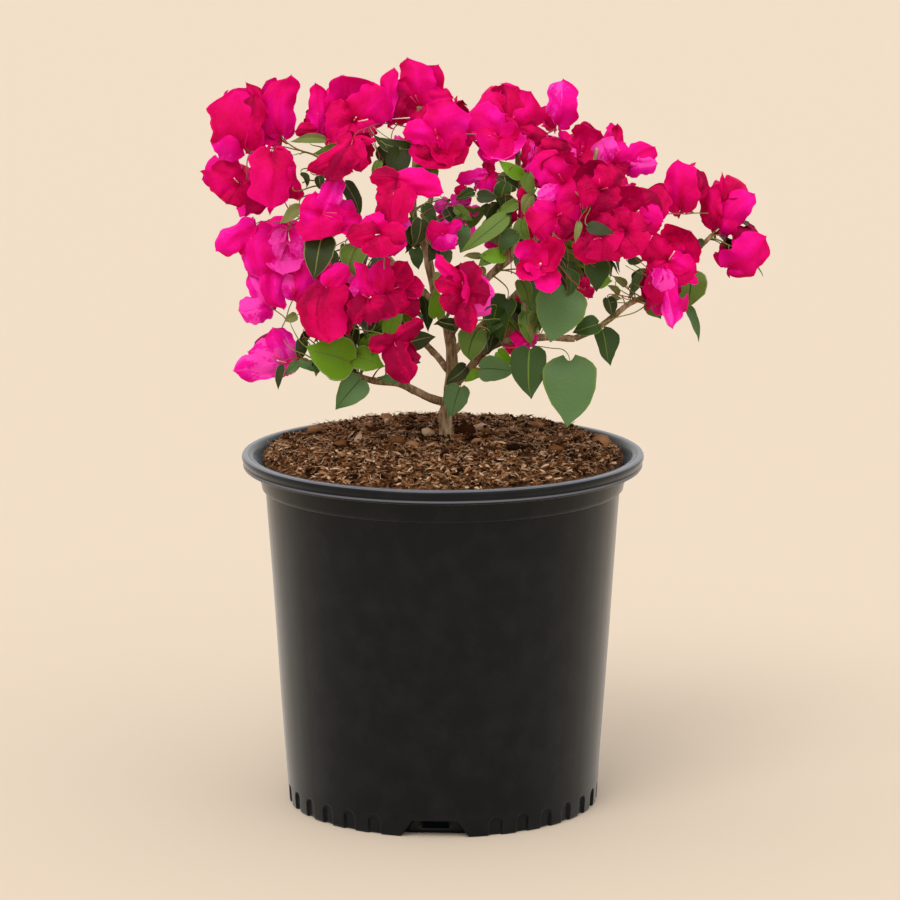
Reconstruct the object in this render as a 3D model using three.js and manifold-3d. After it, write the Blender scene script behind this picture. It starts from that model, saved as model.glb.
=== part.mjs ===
// A bougainvillea bush in flower, standing in a plain nursery pot filled with bark mix.
// Millimetres, +Z up, front at -Y. The origin is the centre of the pot's flat underside.

import * as THREE from "three";
import { mergeVertices } from "three/addons/utils/BufferGeometryUtils.js";
import Module from "manifold-3d";

const wasm = await Module();
wasm.setup();

// ---------------------------------------------------------------------------
// Driving dimensions
// ---------------------------------------------------------------------------

const GAP = 0.3; // clear space between neighbouring solids
const MASS_GAP = 0.48; // the same, stated along the axes of a rounded mass
const OVERCUT = 1; // how far a cutting shape runs below the pot
const ROUND_SIDES = 32; // facets round the pot and the soil

const POT = {
  height: 248,
  baseRadius: 108.5,
  shoulderRadius: 123.5, // top of the straight wall
  collarStep: 2.5, // how far the band under the rim stands out from the wall
  collarHeight: 14.5,
  collarRadius: 129.5, // top of that band
  rimRadius: 140,
  rimHeight: 10, // depth of the rolled rim
  mouthRadius: 131.6,
  wall: 2.4,
  floor: 3,
};

const FOOT = { height: 17, wall: 4, blend: 4 }; // the thicker band round the base

const NOTCH = {
  count: 3,
  firstTurn: -93, // just left of front
  footWidth: 48,
  headWidth: 31,
  height: 12,
  reach: 13, // how far it is set into the base
  wall: 2,
  slotWidth: 20,
  slotHeight: 5,
};

const FLUTE = { betweenNotches: 8, firstStep: 22.5, width: 9, height: 13.5, depth: 2 };

const SOIL = {
  crown: 259,
  flat: 14, // radius of the level spot round the trunk
  shoulders: [[60, 0.5], [90, 3.5], [115, 11]], // radius, and drop below the crown
  edge: 240,
};

const LIMB = {
  sides: 6,
  spareRings: 2, // rings beyond one for each station
  flareFade: 12, // how fast the root flare dies away along the limb
  footReach: 8, // how near a trimmed limb must still come to its foot
};

const MASS = {
  seed: 41,
  seedStep: 17,
  waves: 4, // swells that make a ball uneven
  roughness: 0.5,
  lobedFrom: 80, // masses longer than this have two lobes
  lobeSpacing: 1.1,
  lobeJitter: 0.25,
  simplify: 0.02, // share of a ball's radius below which facets are dropped
  sliver: 0.12, // the same after a cut, as a length
};

// Each limb is one tapering tube through its stations [across, back, up].
// It grows from the side of the limb named in `from`, and ends where it meets foliage,
// but it runs on through the masses named in `past`.
const LIMBS = [
  {
    name: "trunk", foot: 4.9, tip: 3.7, flare: 1.5,
    stations: [[3, 0, SOIL.crown + GAP], [2, 0, 274], [4.5, 0, 290], [6.5, -1, 312], [4, -2, 336]],
  },
  {
    name: "bough_left_low", from: "trunk", foot: 3, tip: 1.7,
    stations: [[3.5, 0, 282], [-9, -4, 287], [-27, -12, 296], [-45, -24, 302], [-72, -46, 314]],
  },
  {
    name: "bough_right_low", from: "trunk", past: ["leaves_low_right"], foot: 3, tip: 2.2,
    stations: [[5, 0, 292], [14, -4, 302], [28, -9, 320], [46, -14, 328], [70, -18, 332], [91, -20, 331]],
  },
  {
    name: "bough_right_rising", from: "bough_right_low", foot: 2.2, tip: 1.4,
    stations: [[91, -20, 331], [109, -20, 339], [128, -18, 354], [150, -14, 366], [186, 2, 400]],
  },
  {
    name: "leader_right", from: "trunk", foot: 2.9, tip: 1.8,
    stations: [[4, -2, 334], [16, -6, 350], [29, -10, 370], [42, -12, 384], [54, -15, 408], [50, -17, 480]],
  },
  {
    name: "leader_left", from: "trunk", foot: 2.8, tip: 1.7,
    stations: [[4, -2, 333], [-4, -4, 352], [-10, -2, 385], [-20, -6, 420], [-16, -8, 490]],
  },
  {
    name: "bough_left_high", from: "leader_left", foot: 2.3, tip: 1.5,
    stations: [[-4, -4, 352], [-26, -2, 374], [-56, -6, 404], [-78, -10, 436], [-74, -14, 480]],
  },
  {
    name: "bough_front", from: "trunk", foot: 2.2, tip: 1.5,
    stations: [[5, -2, 326], [8, -26, 340], [12, -58, 352], [14, -100, 366]],
  },
  {
    name: "bough_right_high", from: "leader_right", foot: 2.1, tip: 1.5,
    stations: [[29, -10, 370], [48, 0, 384], [70, 2, 402], [96, -8, 430], [106, -12, 462]],
  },
  {
    name: "bough_back", from: "leader_left", foot: 2.3, tip: 1.5,
    stations: [[-5, -4, 356], [-8, 18, 374], [-12, 46, 392], [-8, 80, 416], [-4, 112, 440]],
  },
  {
    name: "bough_back_left", from: "trunk", foot: 2.5, tip: 1.5,
    stations: [[5, -1, 304], [-10, 18, 318], [-34, 44, 334], [-64, 66, 346], [-100, 82, 362]],
  },
  {
    name: "bough_back_right", from: "trunk", foot: 2.5, tip: 1.5,
    stations: [[6, -1, 316], [22, 20, 330], [46, 46, 346], [74, 70, 364], [104, 88, 388]],
  },
];

// Trusses of bracts: middle [across, back, up] and outer size [across, back, up].
const BLOOM = {
  left_crest: { at: [-141, -8, 480], size: [42, 46, 46] },
  left_plume: { at: [-109, 4, 491], size: [42, 42, 48] },
  left_tip: { at: [-145, 2, 438], size: [40, 50, 37] },
  left_face: { at: [-114, -20, 443], size: [44, 48, 48] },
  left_knot: { at: [-80, -46, 424], size: [38, 38, 42] },
  left_skirt: { at: [-124, -14, 378], size: [64, 54, 82] },
  left_foot: { at: [-120, -18, 322], size: [44, 42, 42] },
  left_bell: { at: [-80, -64, 362], size: [46, 46, 50] },
  left_ember: { at: [-34, -76, 373], size: [58, 46, 46] },
  low_lantern: { at: [-32, -90, 334], size: [38, 36, 42] },
  left_brow: { at: [-63, -14, 491], size: [56, 66, 54] },
  left_eye: { at: [-72, -48, 456], size: [44, 46, 38] },
  centre_left: { at: [-40, -92, 415], size: [58, 46, 54] },
  crown_peak: { at: [-14, 4, 500], size: [46, 52, 47] },
  crown_face: { at: [-3, -42, 477], size: [52, 58, 50] },
  right_peak: { at: [42, -16, 487], size: [52, 52, 50] },
  right_petal: { at: [77, -2, 488], size: [38, 40, 50] },
  right_shoulder: { at: [112, -2, 460], size: [74, 46, 42] },
  centre_right: { at: [75, -50, 445], size: [48, 48, 52] },
  right_heart: { at: [104, -74, 425], size: [56, 52, 56] },
  right_cheek: { at: [137, -44, 421], size: [44, 46, 44] },
  right_fan: { at: [163, -8, 436], size: [42, 52, 42] },
  right_pair: { at: [192, 4, 421], size: [44, 44, 42] },
  right_lantern: { at: [206, -4, 394], size: [36, 38, 34] },
  low_right_face: { at: [66, -96, 393], size: [44, 56, 46] },
  right_veil: { at: [154, -46, 394], size: [42, 42, 44] },
  right_drop: { at: [152, -52, 362], size: [30, 30, 38] },
  front_ember: { at: [15, -112, 372], size: [48, 42, 52] },
  back_peak: { at: [8, 50, 478], size: [64, 72, 50] },
  back_left_brow: { at: [-78, 42, 464], size: [64, 92, 54] },
  back_left_cheek: { at: [-120, 52, 430], size: [66, 74, 58] },
  back_left_skirt: { at: [-104, 102, 372], size: [56, 54, 52] },
  back_right_brow: { at: [84, 50, 450], size: [66, 88, 50] },
  back_right_cheek: { at: [138, 54, 424], size: [60, 68, 52] },
  back_right_skirt: { at: [116, 108, 392], size: [54, 52, 50] },
  back_heart: { at: [-4, 120, 444], size: [64, 66, 50] },
};

// Leafy sprays, stated in the same way.
const LEAVES = {
  left: { at: [-72, -54, 394], size: [42, 46, 40] },
  low_left: { at: [-68, -56, 326], size: [72, 66, 48] },
  crown: { at: [-35, -44, 455], size: [40, 38, 38] },
  centre: { at: [27, -50, 416], size: [62, 56, 60] },
  low_right: { at: [46, -43, 334], size: [54, 58, 42] },
  big: { at: [82, -78, 357], size: [60, 52, 50] },
  hanging: { at: [80, -74, 308], size: [56, 48, 58] },
  right_low: { at: [150, -24, 362], size: [56, 42, 40] },
  back_left: { at: [-56, 110, 359], size: [60, 52, 46] },
  back_right: { at: [74, 118, 366], size: [58, 50, 46] },
};

// ---------------------------------------------------------------------------
// Solids
// ---------------------------------------------------------------------------

/** A small seeded generator of numbers from 0 to 1. */
function seededRandom(seed) {
  let state = seed >>> 0;
  return () => {
    state = (state + 0x6d2b79f5) >>> 0;
    let mixed = Math.imul(state ^ (state >>> 15), state | 1);
    mixed ^= mixed + Math.imul(mixed ^ (mixed >>> 7), mixed | 61);
    return ((mixed ^ (mixed >>> 14)) >>> 0) / 4294967296;
  };
}

/** The geometry with only its positions, and with shared corners merged. */
function bareGeometry(geometry) {
  const bare = geometry.clone();
  bare.deleteAttribute("normal");
  bare.deleteAttribute("uv");
  return mergeVertices(bare, 1e-4);
}

/** A closed geometry as a solid, without the flat triangles at a pole. */
function solidOf(geometry) {
  const bare = bareGeometry(geometry);
  const corners = [];
  for (let i = 0; i < bare.index.count; i += 3) {
    const [a, b, c] = [0, 1, 2].map((step) => bare.index.getX(i + step));
    if (a !== b && b !== c && c !== a) corners.push(a, b, c);
  }
  const vertProperties = new Float32Array(bare.attributes.position.array);
  const triVerts = new Uint32Array(corners);
  return new wasm.Manifold(new wasm.Mesh({ numProp: 3, vertProperties, triVerts }));
}

/** A solid as a named mesh in the given material. */
function meshOf(name, solid, material) {
  const { vertProperties, triVerts } = solid.getMesh();
  const geometry = new THREE.BufferGeometry();
  geometry.setAttribute("position", new THREE.BufferAttribute(vertProperties, 3));
  geometry.setIndex(new THREE.BufferAttribute(triVerts, 1));
  geometry.computeVertexNormals();
  const mesh = new THREE.Mesh(geometry, material);
  mesh.name = name;
  return mesh;
}

/** The outline [[radius, height], ...] turned about +Z. */
function turned(outline) {
  const points = outline.map(([radius, height]) => new THREE.Vector2(radius, height));
  return solidOf(new THREE.LatheGeometry(points, ROUND_SIDES).rotateX(Math.PI / 2));
}

/** A flat shape (width, height) that stands upright and runs outward from `near` to `far`. */
function radialPrism(shape, near, far, turnDegrees) {
  const prism = new THREE.ExtrudeGeometry(shape, {
    depth: far - near, bevelEnabled: false, curveSegments: 2,
  });
  prism.rotateX(Math.PI / 2).rotateZ(Math.PI / 2).translate(near, 0, 0);
  return solidOf(prism.rotateZ(THREE.MathUtils.degToRad(turnDegrees)));
}

// ---------------------------------------------------------------------------
// Pot and soil
// ---------------------------------------------------------------------------

const collarTop = POT.height - POT.rimHeight;
const collarFoot = collarTop - POT.collarHeight;
const wallRise = (POT.shoulderRadius - POT.baseRadius) / collarFoot;

/** The radius of the outer wall at a height below the collar. */
const wallRadius = (height) => POT.baseRadius + wallRise * height;

/** The outer outline of the pot, from the middle of the underside over the rolled rim. */
function potOutside() {
  const bead = POT.rimHeight / 8;
  const rimMiddle = POT.height - POT.rimHeight / 2;
  return [
    [0, 0],
    [POT.baseRadius, 0],
    [POT.shoulderRadius, collarFoot],
    [POT.shoulderRadius + POT.collarStep, collarFoot + bead / 2],
    [POT.collarRadius, collarTop - bead / 2],
    [POT.rimRadius - 2 * bead, collarTop],
    [POT.rimRadius - bead, collarTop + bead],
    [POT.rimRadius, rimMiddle],
    [POT.rimRadius - bead, POT.height - bead],
    [POT.rimRadius - 3 * bead, POT.height],
    [POT.mouthRadius + bead, POT.height - bead / 2],
  ];
}

/** The inner outline of the pot, set in by `offset`, from the mouth to the middle of the floor. */
function potInside(offset) {
  const inward = POT.wall + offset;
  const footInward = FOOT.wall + offset;
  const blendTop = FOOT.height + FOOT.blend;
  return [
    [POT.mouthRadius - offset, POT.height - POT.wall],
    [POT.collarRadius - inward, collarTop - 1],
    [POT.shoulderRadius + POT.collarStep - inward, collarFoot],
    [POT.shoulderRadius - inward, collarFoot - POT.wall],
    [wallRadius(blendTop) - inward, blendTop],
    [wallRadius(FOOT.height) - footInward, FOOT.height],
    [wallRadius(POT.floor) - footInward, POT.floor + offset],
    [0, POT.floor + offset],
  ];
}

/** The pot's outer shape with no hollow, below the collar. */
function filledOutline() {
  return [[0, 0], [POT.baseRadius, 0], [POT.shoulderRadius, collarFoot], [0, collarFoot]];
}

/** A four-sided shape, as wide as stated at its low and its high edge. */
function taperedShape(lowWidth, highWidth, low, high) {
  const shape = new THREE.Shape();
  shape.moveTo(-lowWidth / 2, low);
  shape.lineTo(lowWidth / 2, low);
  shape.lineTo(highWidth / 2, high);
  shape.lineTo(-highWidth / 2, high);
  return shape;
}

/** A flute's outline: an arch with straight sides and a round head. */
function fluteShape() {
  const half = FLUTE.width / 2;
  const shape = new THREE.Shape();
  shape.moveTo(-half, -OVERCUT);
  shape.lineTo(half, -OVERCUT);
  shape.lineTo(half, FLUTE.height - half);
  shape.absarc(0, FLUTE.height - half, half, 0, Math.PI);
  return shape;
}

/** A drain notch's outline, grown outward by `extra`. */
function notchShape(extra) {
  const widths = [NOTCH.footWidth, NOTCH.headWidth].map((width) => width + 2 * extra);
  return taperedShape(...widths, -OVERCUT, NOTCH.height + extra);
}

/** A level slot through the back of a drain notch. */
function slotShape() {
  const low = POT.floor + 1;
  return taperedShape(NOTCH.slotWidth, NOTCH.slotWidth, low, low + NOTCH.slotHeight);
}

const notchTurns = Array.from({ length: NOTCH.count }, (_, i) => NOTCH.firstTurn + (i * 360) / NOTCH.count);
const notchBack = POT.baseRadius - NOTCH.reach;

/** The room that the notches' own walls take from the pot's inside, with a clearance. */
function notchWalls(clearance) {
  const extra = NOTCH.wall + clearance;
  const near = notchBack - extra;
  return wasm.Manifold.union(
    notchTurns.map((turn) => radialPrism(notchShape(extra), near, POT.shoulderRadius, turn)),
  );
}

/** The pot: a turned shell with drain notches and a row of flutes round its foot. */
function makePot() {
  const shell = turned([...potOutside(), ...potInside(0)]);
  const body = shell.add(notchWalls(0).intersect(turned(filledOutline())));
  const cuts = [];
  const stepTurn = (360 / NOTCH.count - 2 * FLUTE.firstStep) / (FLUTE.betweenNotches - 1);
  for (const turn of notchTurns) {
    cuts.push(radialPrism(notchShape(0), notchBack, POT.rimRadius, turn));
    cuts.push(radialPrism(slotShape(), notchBack - 2 * NOTCH.wall, notchBack + 1, turn));
    for (let i = 0; i < FLUTE.betweenNotches; i += 1) {
      const near = wallRadius(0) - FLUTE.depth;
      const fluteTurn = turn + FLUTE.firstStep + i * stepTurn;
      cuts.push(radialPrism(fluteShape(), near, POT.rimRadius, fluteTurn));
    }
  }
  return body.subtract(wasm.Manifold.union(cuts));
}

/** The crowned bark mix, which fills the pot with a small clearance. */
function makeSoil() {
  const [[mouth, mouthTop], [band, bandTop]] = potInside(GAP);
  const edgeRadius = THREE.MathUtils.mapLinear(SOIL.edge, bandTop, mouthTop, band, mouth);
  const surface = [
    [0, SOIL.crown],
    [SOIL.flat, SOIL.crown],
    ...SOIL.shoulders.map(([radius, drop]) => [radius, SOIL.crown - drop]),
    [edgeRadius, SOIL.edge],
  ];
  const outline = [...surface, ...potInside(GAP).slice(1)].reverse();
  return turned(outline).subtract(notchWalls(GAP));
}

// ---------------------------------------------------------------------------
// Limbs
// ---------------------------------------------------------------------------

/** A limb's solid, thicker all round by `extra`. */
function limbSolid(limb, extra = 0) {
  const curve = new THREE.CatmullRomCurve3(limb.stations.map((place) => new THREE.Vector3(...place)));
  const rings = limb.stations.length + LIMB.spareRings;
  const frames = curve.computeFrenetFrames(rings, false);
  const tube = new THREE.CylinderGeometry(1, 1, 1, LIMB.sides, rings);
  const spots = tube.attributes.position;
  for (let i = 0; i < spots.count; i += 1) {
    const share = spots.getY(i) + 0.5;
    const ring = Math.round(share * rings);
    const flare = (limb.flare ?? 0) * Math.exp(-LIMB.flareFade * share);
    const girth = THREE.MathUtils.lerp(limb.foot, limb.tip, share) + flare + extra;
    const place = curve.getPointAt(ring / rings)
      .addScaledVector(frames.binormals[ring], spots.getX(i) * girth)
      .addScaledVector(frames.normals[ring], spots.getZ(i) * girth);
    if (ring === 0 || ring === rings) place.addScaledVector(frames.tangents[ring], ring ? extra : -extra);
    if (ring === 0 && limb.flare) place.z = limb.stations[0][2];
    spots.setXYZ(i, place.x, place.y, place.z);
  }
  return solidOf(tube);
}

/** The largest of a solid's separate pieces that passes the test. */
function largestPiece(solid, test = () => true) {
  const pieces = solid.decompose().filter(test);
  return pieces.reduce((best, piece) => (piece.volume() > best.volume() ? piece : best));
}

/** Whether a piece of a cut limb still reaches the limb's foot. */
function reaches(piece, foot) {
  const { min, max } = piece.boundingBox();
  const box = new THREE.Box3(new THREE.Vector3(...min), new THREE.Vector3(...max));
  return box.distanceToPoint(foot) < LIMB.footReach;
}

/** The limbs by name, each trimmed at its elders and where it first meets a mass. */
function makeLimbs(grownMasses) {
  const made = {};
  for (const limb of LIMBS) {
    const elders = LIMBS.filter((other) => other.name in made).map((other) => limbSolid(other, GAP));
    const ends = Object.keys(grownMasses).filter((name) => !limb.past?.includes(name));
    const cutters = [...elders, ...ends.map((name) => grownMasses[name])];
    const trimmed = limbSolid(limb).subtract(wasm.Manifold.union(cutters));
    const foot = new THREE.Vector3(...limb.stations[0]);
    made[limb.name] = largestPiece(trimmed, (piece) => reaches(piece, foot));
  }
  return made;
}

// ---------------------------------------------------------------------------
// Masses
// ---------------------------------------------------------------------------

/** One rough ball of about unit radius: it swells and dips by a few seeded waves. */
function roughBall(random) {
  const ball = bareGeometry(new THREE.IcosahedronGeometry(1, 1));
  const waves = Array.from({ length: MASS.waves }, () => ({
    along: new THREE.Vector3(random() - 0.5, random() - 0.5, random() - 0.5).setLength(2 + 2 * random()),
    phase: random() * Math.PI * 2,
  }));
  const spots = ball.attributes.position;
  const spot = new THREE.Vector3();
  for (let i = 0; i < spots.count; i += 1) {
    spot.fromBufferAttribute(spots, i);
    const swell = waves.reduce((sum, wave) => sum + Math.sin(wave.along.dot(spot) + wave.phase), 0);
    spot.multiplyScalar(1 + (MASS.roughness * swell) / waves.length);
    spots.setXYZ(i, spot.x, spot.y, spot.z);
  }
  return ball;
}

/** A mass's own lobed shape, fitted to its stated place and size, grown by `extra` all round. */
function massSolid({ at, size }, seed, extra = 0) {
  const random = seededRandom(seed);
  const longest = Math.max(...size);
  const lobes = longest > MASS.lobedFrom ? 2 : 1;
  const jitter = lobes > 1 ? MASS.lobeJitter : 0;
  const along = size.map((length) => (length === longest ? 1 : 0));
  const balls = Array.from({ length: lobes }, (_, i) => {
    const side = (i - (lobes - 1) / 2) * MASS.lobeSpacing;
    const shift = along.map((share) => share * side + jitter * (random() - 0.5));
    return solidOf(roughBall(random)).translate(shift);
  });
  const shape = wasm.Manifold.union(balls).simplify(MASS.simplify);
  const { min, max } = shape.boundingBox();
  const middle = min.map((low, axis) => (low + max[axis]) / 2);
  const stretch = size.map((length, axis) => (length + 2 * extra) / (max[axis] - min[axis]));
  return shape.translate(middle.map((value) => -value)).scale(stretch).translate(at);
}

/** Every mass by name, cut back from the masses made before it and from limbs that run past. */
function makeMasses(specs) {
  const made = {};
  const grown = {};
  for (const { name, spec, seed } of specs) {
    const passing = LIMBS.filter((limb) => limb.past?.includes(name)).map((limb) => limbSolid(limb, GAP));
    const cutters = [...Object.values(grown), ...passing];
    const raw = massSolid(spec, seed);
    const cut = cutters.length ? raw.subtract(wasm.Manifold.union(cutters)) : raw;
    made[name] = largestPiece(cut).simplify(MASS.sliver);
    grown[name] = massSolid(spec, seed, MASS_GAP);
  }
  return { made, grown };
}

// ---------------------------------------------------------------------------
// Assembly
// ---------------------------------------------------------------------------

const finishes = {
  pot: new THREE.MeshStandardMaterial({ color: 0x26282a, roughness: 0.45, metalness: 0 }),
  soil: new THREE.MeshStandardMaterial({ color: 0x53372a, roughness: 0.95, metalness: 0 }),
  bark: new THREE.MeshStandardMaterial({ color: 0x7b6856, roughness: 0.85, metalness: 0 }),
  bract: new THREE.MeshStandardMaterial({ color: 0xcd165f, roughness: 0.6, metalness: 0 }),
  leaf: new THREE.MeshStandardMaterial({ color: 0x57613a, roughness: 0.55, metalness: 0 }),
};

const specs = [
  ...Object.entries(BLOOM).map(([name, spec]) => ({ name: `bloom_${name}`, spec })),
  ...Object.entries(LEAVES).map(([name, spec]) => ({ name: `leaves_${name}`, spec })),
].map((entry, i) => ({ ...entry, seed: MASS.seed + MASS.seedStep * i }));

const { made: masses, grown } = makeMasses(specs);
const limbs = makeLimbs(grown);

const group = new THREE.Group();
group.add(meshOf("pot", makePot(), finishes.pot));
group.add(meshOf("soil", makeSoil(), finishes.soil));
for (const [name, solid] of Object.entries(limbs)) group.add(meshOf(name, solid, finishes.bark));
for (const [name, solid] of Object.entries(masses)) {
  group.add(meshOf(name, solid, name.startsWith("bloom") ? finishes.bract : finishes.leaf));
}

export default group;
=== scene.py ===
"""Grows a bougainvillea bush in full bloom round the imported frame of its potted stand-in.

The pot is turned, fluted and notched in one mesh. The bark mix is a crowned bed strewn with chips
and fibres. The crown is grown on from the limbs: a seeded rule sends a twig to every flower head
and every leaf, and each kind is joined into a few meshes. Tints are dealt out by patch on a bract,
and by leaf, by twig and by chip. Sizes are in millimetres until a mesh is made; the scene is in
metres.
"""

import logging
import math
from collections.abc import Iterable, Sequence
from dataclasses import dataclass, field
from enum import Enum
from typing import TypeVar

import bpy
import numpy as np
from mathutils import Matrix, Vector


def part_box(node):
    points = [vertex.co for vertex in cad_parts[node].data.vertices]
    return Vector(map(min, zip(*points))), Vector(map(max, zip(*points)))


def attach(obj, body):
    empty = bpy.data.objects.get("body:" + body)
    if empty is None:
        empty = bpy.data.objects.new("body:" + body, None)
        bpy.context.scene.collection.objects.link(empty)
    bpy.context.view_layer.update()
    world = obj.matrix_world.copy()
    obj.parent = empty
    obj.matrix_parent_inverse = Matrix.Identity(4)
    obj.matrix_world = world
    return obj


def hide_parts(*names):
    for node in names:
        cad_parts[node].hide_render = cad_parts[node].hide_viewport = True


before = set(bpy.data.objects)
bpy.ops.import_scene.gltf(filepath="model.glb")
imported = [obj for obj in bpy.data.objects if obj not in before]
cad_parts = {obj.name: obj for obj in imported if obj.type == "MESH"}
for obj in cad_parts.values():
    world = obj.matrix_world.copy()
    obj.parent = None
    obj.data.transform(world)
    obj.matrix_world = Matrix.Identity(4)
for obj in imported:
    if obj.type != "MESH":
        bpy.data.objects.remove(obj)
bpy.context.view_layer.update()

LOG = logging.getLogger("bush")
MM = 0.001
BODY = "root"
UP = np.array([0.0, 0.0, 1.0])
FRONT = np.array([0.0, -1.0, 0.0])

Vec = np.ndarray
Place = tuple[float, float, float]
Colour = tuple[float, ...]
Rng = np.random.Generator
Object = bpy.types.Object
Material = bpy.types.Material
Socket = bpy.types.NodeSocket
Option = TypeVar("Option")


# --- Directions, curves and unevenness ---


def unit(vector: Vec) -> Vec:
    """The vector at length one."""
    return vector / max(float(np.linalg.norm(vector)), 1e-9)


def each_unit(rows: np.ndarray) -> np.ndarray:
    """Each row at length one."""
    return rows / np.linalg.norm(rows, axis=1)[:, None]


def heading(turn: float, rise: float) -> Vec:
    """A direction from its compass turn and its rise above level.

    Args:
        turn: Degrees anticlockwise from +X, so -90 faces the front.
        rise: Degrees above level.

    Returns:
        The direction as a unit vector.
    """
    across, upward = math.radians(turn), math.radians(rise)
    level = math.cos(upward)
    return np.array([level * math.cos(across), level * math.sin(across), math.sin(upward)])


LOOK_DOWN = 11.0
FORE = heading(-90, LOOK_DOWN)
# Rows: the ways right, forward and up, as the front of the crown is seen.
LOOK = np.stack([np.array([1.0, 0.0, 0.0]), FORE, heading(90, 90 - LOOK_DOWN)])


def turning(angle: float, axis: int) -> np.ndarray:
    """The matrix that turns points about an axis.

    Args:
        angle: The turn in radians, anticlockwise.
        axis: Number of the axis: 0 for X, 1 for Y, 2 for Z.

    Returns:
        The matrix, for points as columns.
    """
    matrix = np.eye(3)
    one, other = (axis + 1) % 3, (axis + 2) % 3
    matrix[one, one] = matrix[other, other] = math.cos(angle)
    matrix[other, one] = math.sin(angle)
    matrix[one, other] = -math.sin(angle)
    return matrix


def facing_frame(faces: Vec, roll: float) -> np.ndarray:
    """The axes of something that faces a direction and is rolled about it.

    Args:
        faces: The direction that the thing faces.
        roll: Degrees clockwise from upright, for somebody who looks back at it.

    Returns:
        Rows: the rolled upward direction, the sideways direction and the facing direction.
    """
    axis = unit(faces)
    upright = UP - axis * float(UP @ axis)
    if np.linalg.norm(upright) < 0.05:
        upright = -FRONT - axis * float(-FRONT @ axis)
    upright = unit(upright)
    right = np.cross(upright, axis)
    angle = math.radians(roll)
    top = math.cos(angle) * upright + math.sin(angle) * right
    return np.stack([top, np.cross(axis, top), axis])


def smooth_step(values: Vec, low: float, high: float) -> Vec:
    """Nought below `low`, one above `high`, and an even S between them."""
    share = np.clip((np.asarray(values, float) - low) / (high - low), 0.0, 1.0)
    return share * share * (3.0 - 2.0 * share)


def pick(rng: Rng, shares: dict[Option, float]) -> Option:
    """One of the keys, picked by the shares that stand beside them."""
    options = list(shares)
    return options[int(rng.choice(len(options), p=list(shares.values())))]


def through(stations: np.ndarray, spacing: float) -> np.ndarray:
    """A smooth line through stations, at about an even spacing.

    Args:
        stations: Points that the line passes through, one a row.
        spacing: Distance between the points of the result.

    Returns:
        Points on the line, one a row, with the first and last station at its ends.
    """
    ends = [2 * stations[0] - stations[1], 2 * stations[-1] - stations[-2]]
    knots = np.vstack([ends[0], stations, ends[1]])
    line = []
    for a, b, c, d in zip(knots, knots[1:], knots[2:], knots[3:], strict=False):
        count = max(2, int(np.linalg.norm(c - b) / spacing))
        for share in np.arange(count) / count:
            line.append(
                0.5 * (2 * b + (c - a) * share + (2 * a - 5 * b + 4 * c - d) * share**2
                       + (3 * b - a - 3 * c + d) * share**3)
            )
    line.append(stations[-1])
    return np.array(line)


def bowed(start: Vec, lead: Vec, end: Vec, arrival: Vec, spacing: float) -> np.ndarray:
    """A bowed line that leaves `start` along `lead` and reaches `end` along `arrival`.

    Args:
        start: Its first point.
        lead: The way that it leaves.
        end: Its last point.
        arrival: The way that it arrives.
        spacing: Distance between its points.

    Returns:
        Points on the line, one a row.
    """
    reach = float(np.linalg.norm(end - start))
    leaving, arriving = start + unit(lead) * reach * 0.28, end - unit(arrival) * reach * 0.26
    share = np.linspace(0, 1, max(4, int(reach / spacing) + 1))[:, None]
    rest = 1 - share
    return (
        rest**3 * start + 3 * rest**2 * share * leaving
        + 3 * rest * share**2 * arriving + share**3 * end
    )


@dataclass(frozen=True)
class Ripple:
    """A smooth unevenness in space: waves of many directions, added up.

    Attributes:
        seed: Picks the waves.
        wavelength: Middle wavelength, in the units of the points.
        waves: Number of waves.
    """

    seed: int
    wavelength: float
    waves: int = 9

    def at(self, points: np.ndarray) -> Vec:
        """The unevenness at each point, mostly between -1 and 1.

        Args:
            points: The points, one a row.

        Returns:
            The unevenness at each point.
        """
        rng = np.random.default_rng(self.seed)
        directions = each_unit(rng.normal(size=(self.waves, 3)))
        lengths = self.wavelength * rng.uniform(0.6, 1.6, self.waves)
        turns = rng.uniform(0, math.tau, self.waves)
        angles = points @ (directions * (math.tau / lengths[:, None])).T + turns
        return np.sin(angles).sum(axis=1) / math.sqrt(self.waves)


# --- Meshes ---


def grid_faces(rows: int, columns: int, wrapped: bool = False) -> np.ndarray:
    """The four-sided faces of a grid of points, row by row.

    Args:
        rows: Rows of points.
        columns: Points in a row.
        wrapped: Whether the last point of a row joins the first.

    Returns:
        Corner numbers, four a face.
    """
    across = columns if wrapped else columns - 1
    row, column = np.meshgrid(np.arange(rows - 1), np.arange(across), indexing="ij")
    following = (column + 1) % columns
    near, far = row * columns, (row + 1) * columns
    corners = [near + column, near + following, far + following, far + column]
    return np.stack(corners, axis=-1).reshape(-1, 4)


def fan(first: int, count: int, centre: int) -> np.ndarray:
    """The three-sided faces that close a ring, from its first point on, round the point of a number."""
    here = np.arange(count)
    return np.stack([first + here, first + (here + 1) % count, np.full(count, centre)], axis=1)


def flipped(faces: np.ndarray) -> np.ndarray:
    """Three-sided faces turned over."""
    return faces[:, [1, 0, 2]]


def circle(radius: float | Vec, turn: Vec, height: float | Vec) -> np.ndarray:
    """Points at some radii, turns in radians and heights."""
    return np.stack(np.broadcast_arrays(radius * np.cos(turn), radius * np.sin(turn), height), axis=-1)


def placed(name: str, data: bpy.types.ID) -> Object:
    """Puts something into the scene.

    Args:
        name: Name of its object.
        data: What it is: a mesh, a lamp or a camera.

    Returns:
        The object.
    """
    made = bpy.data.objects.new(name, data)
    bpy.context.scene.collection.objects.link(made)
    return made


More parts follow.
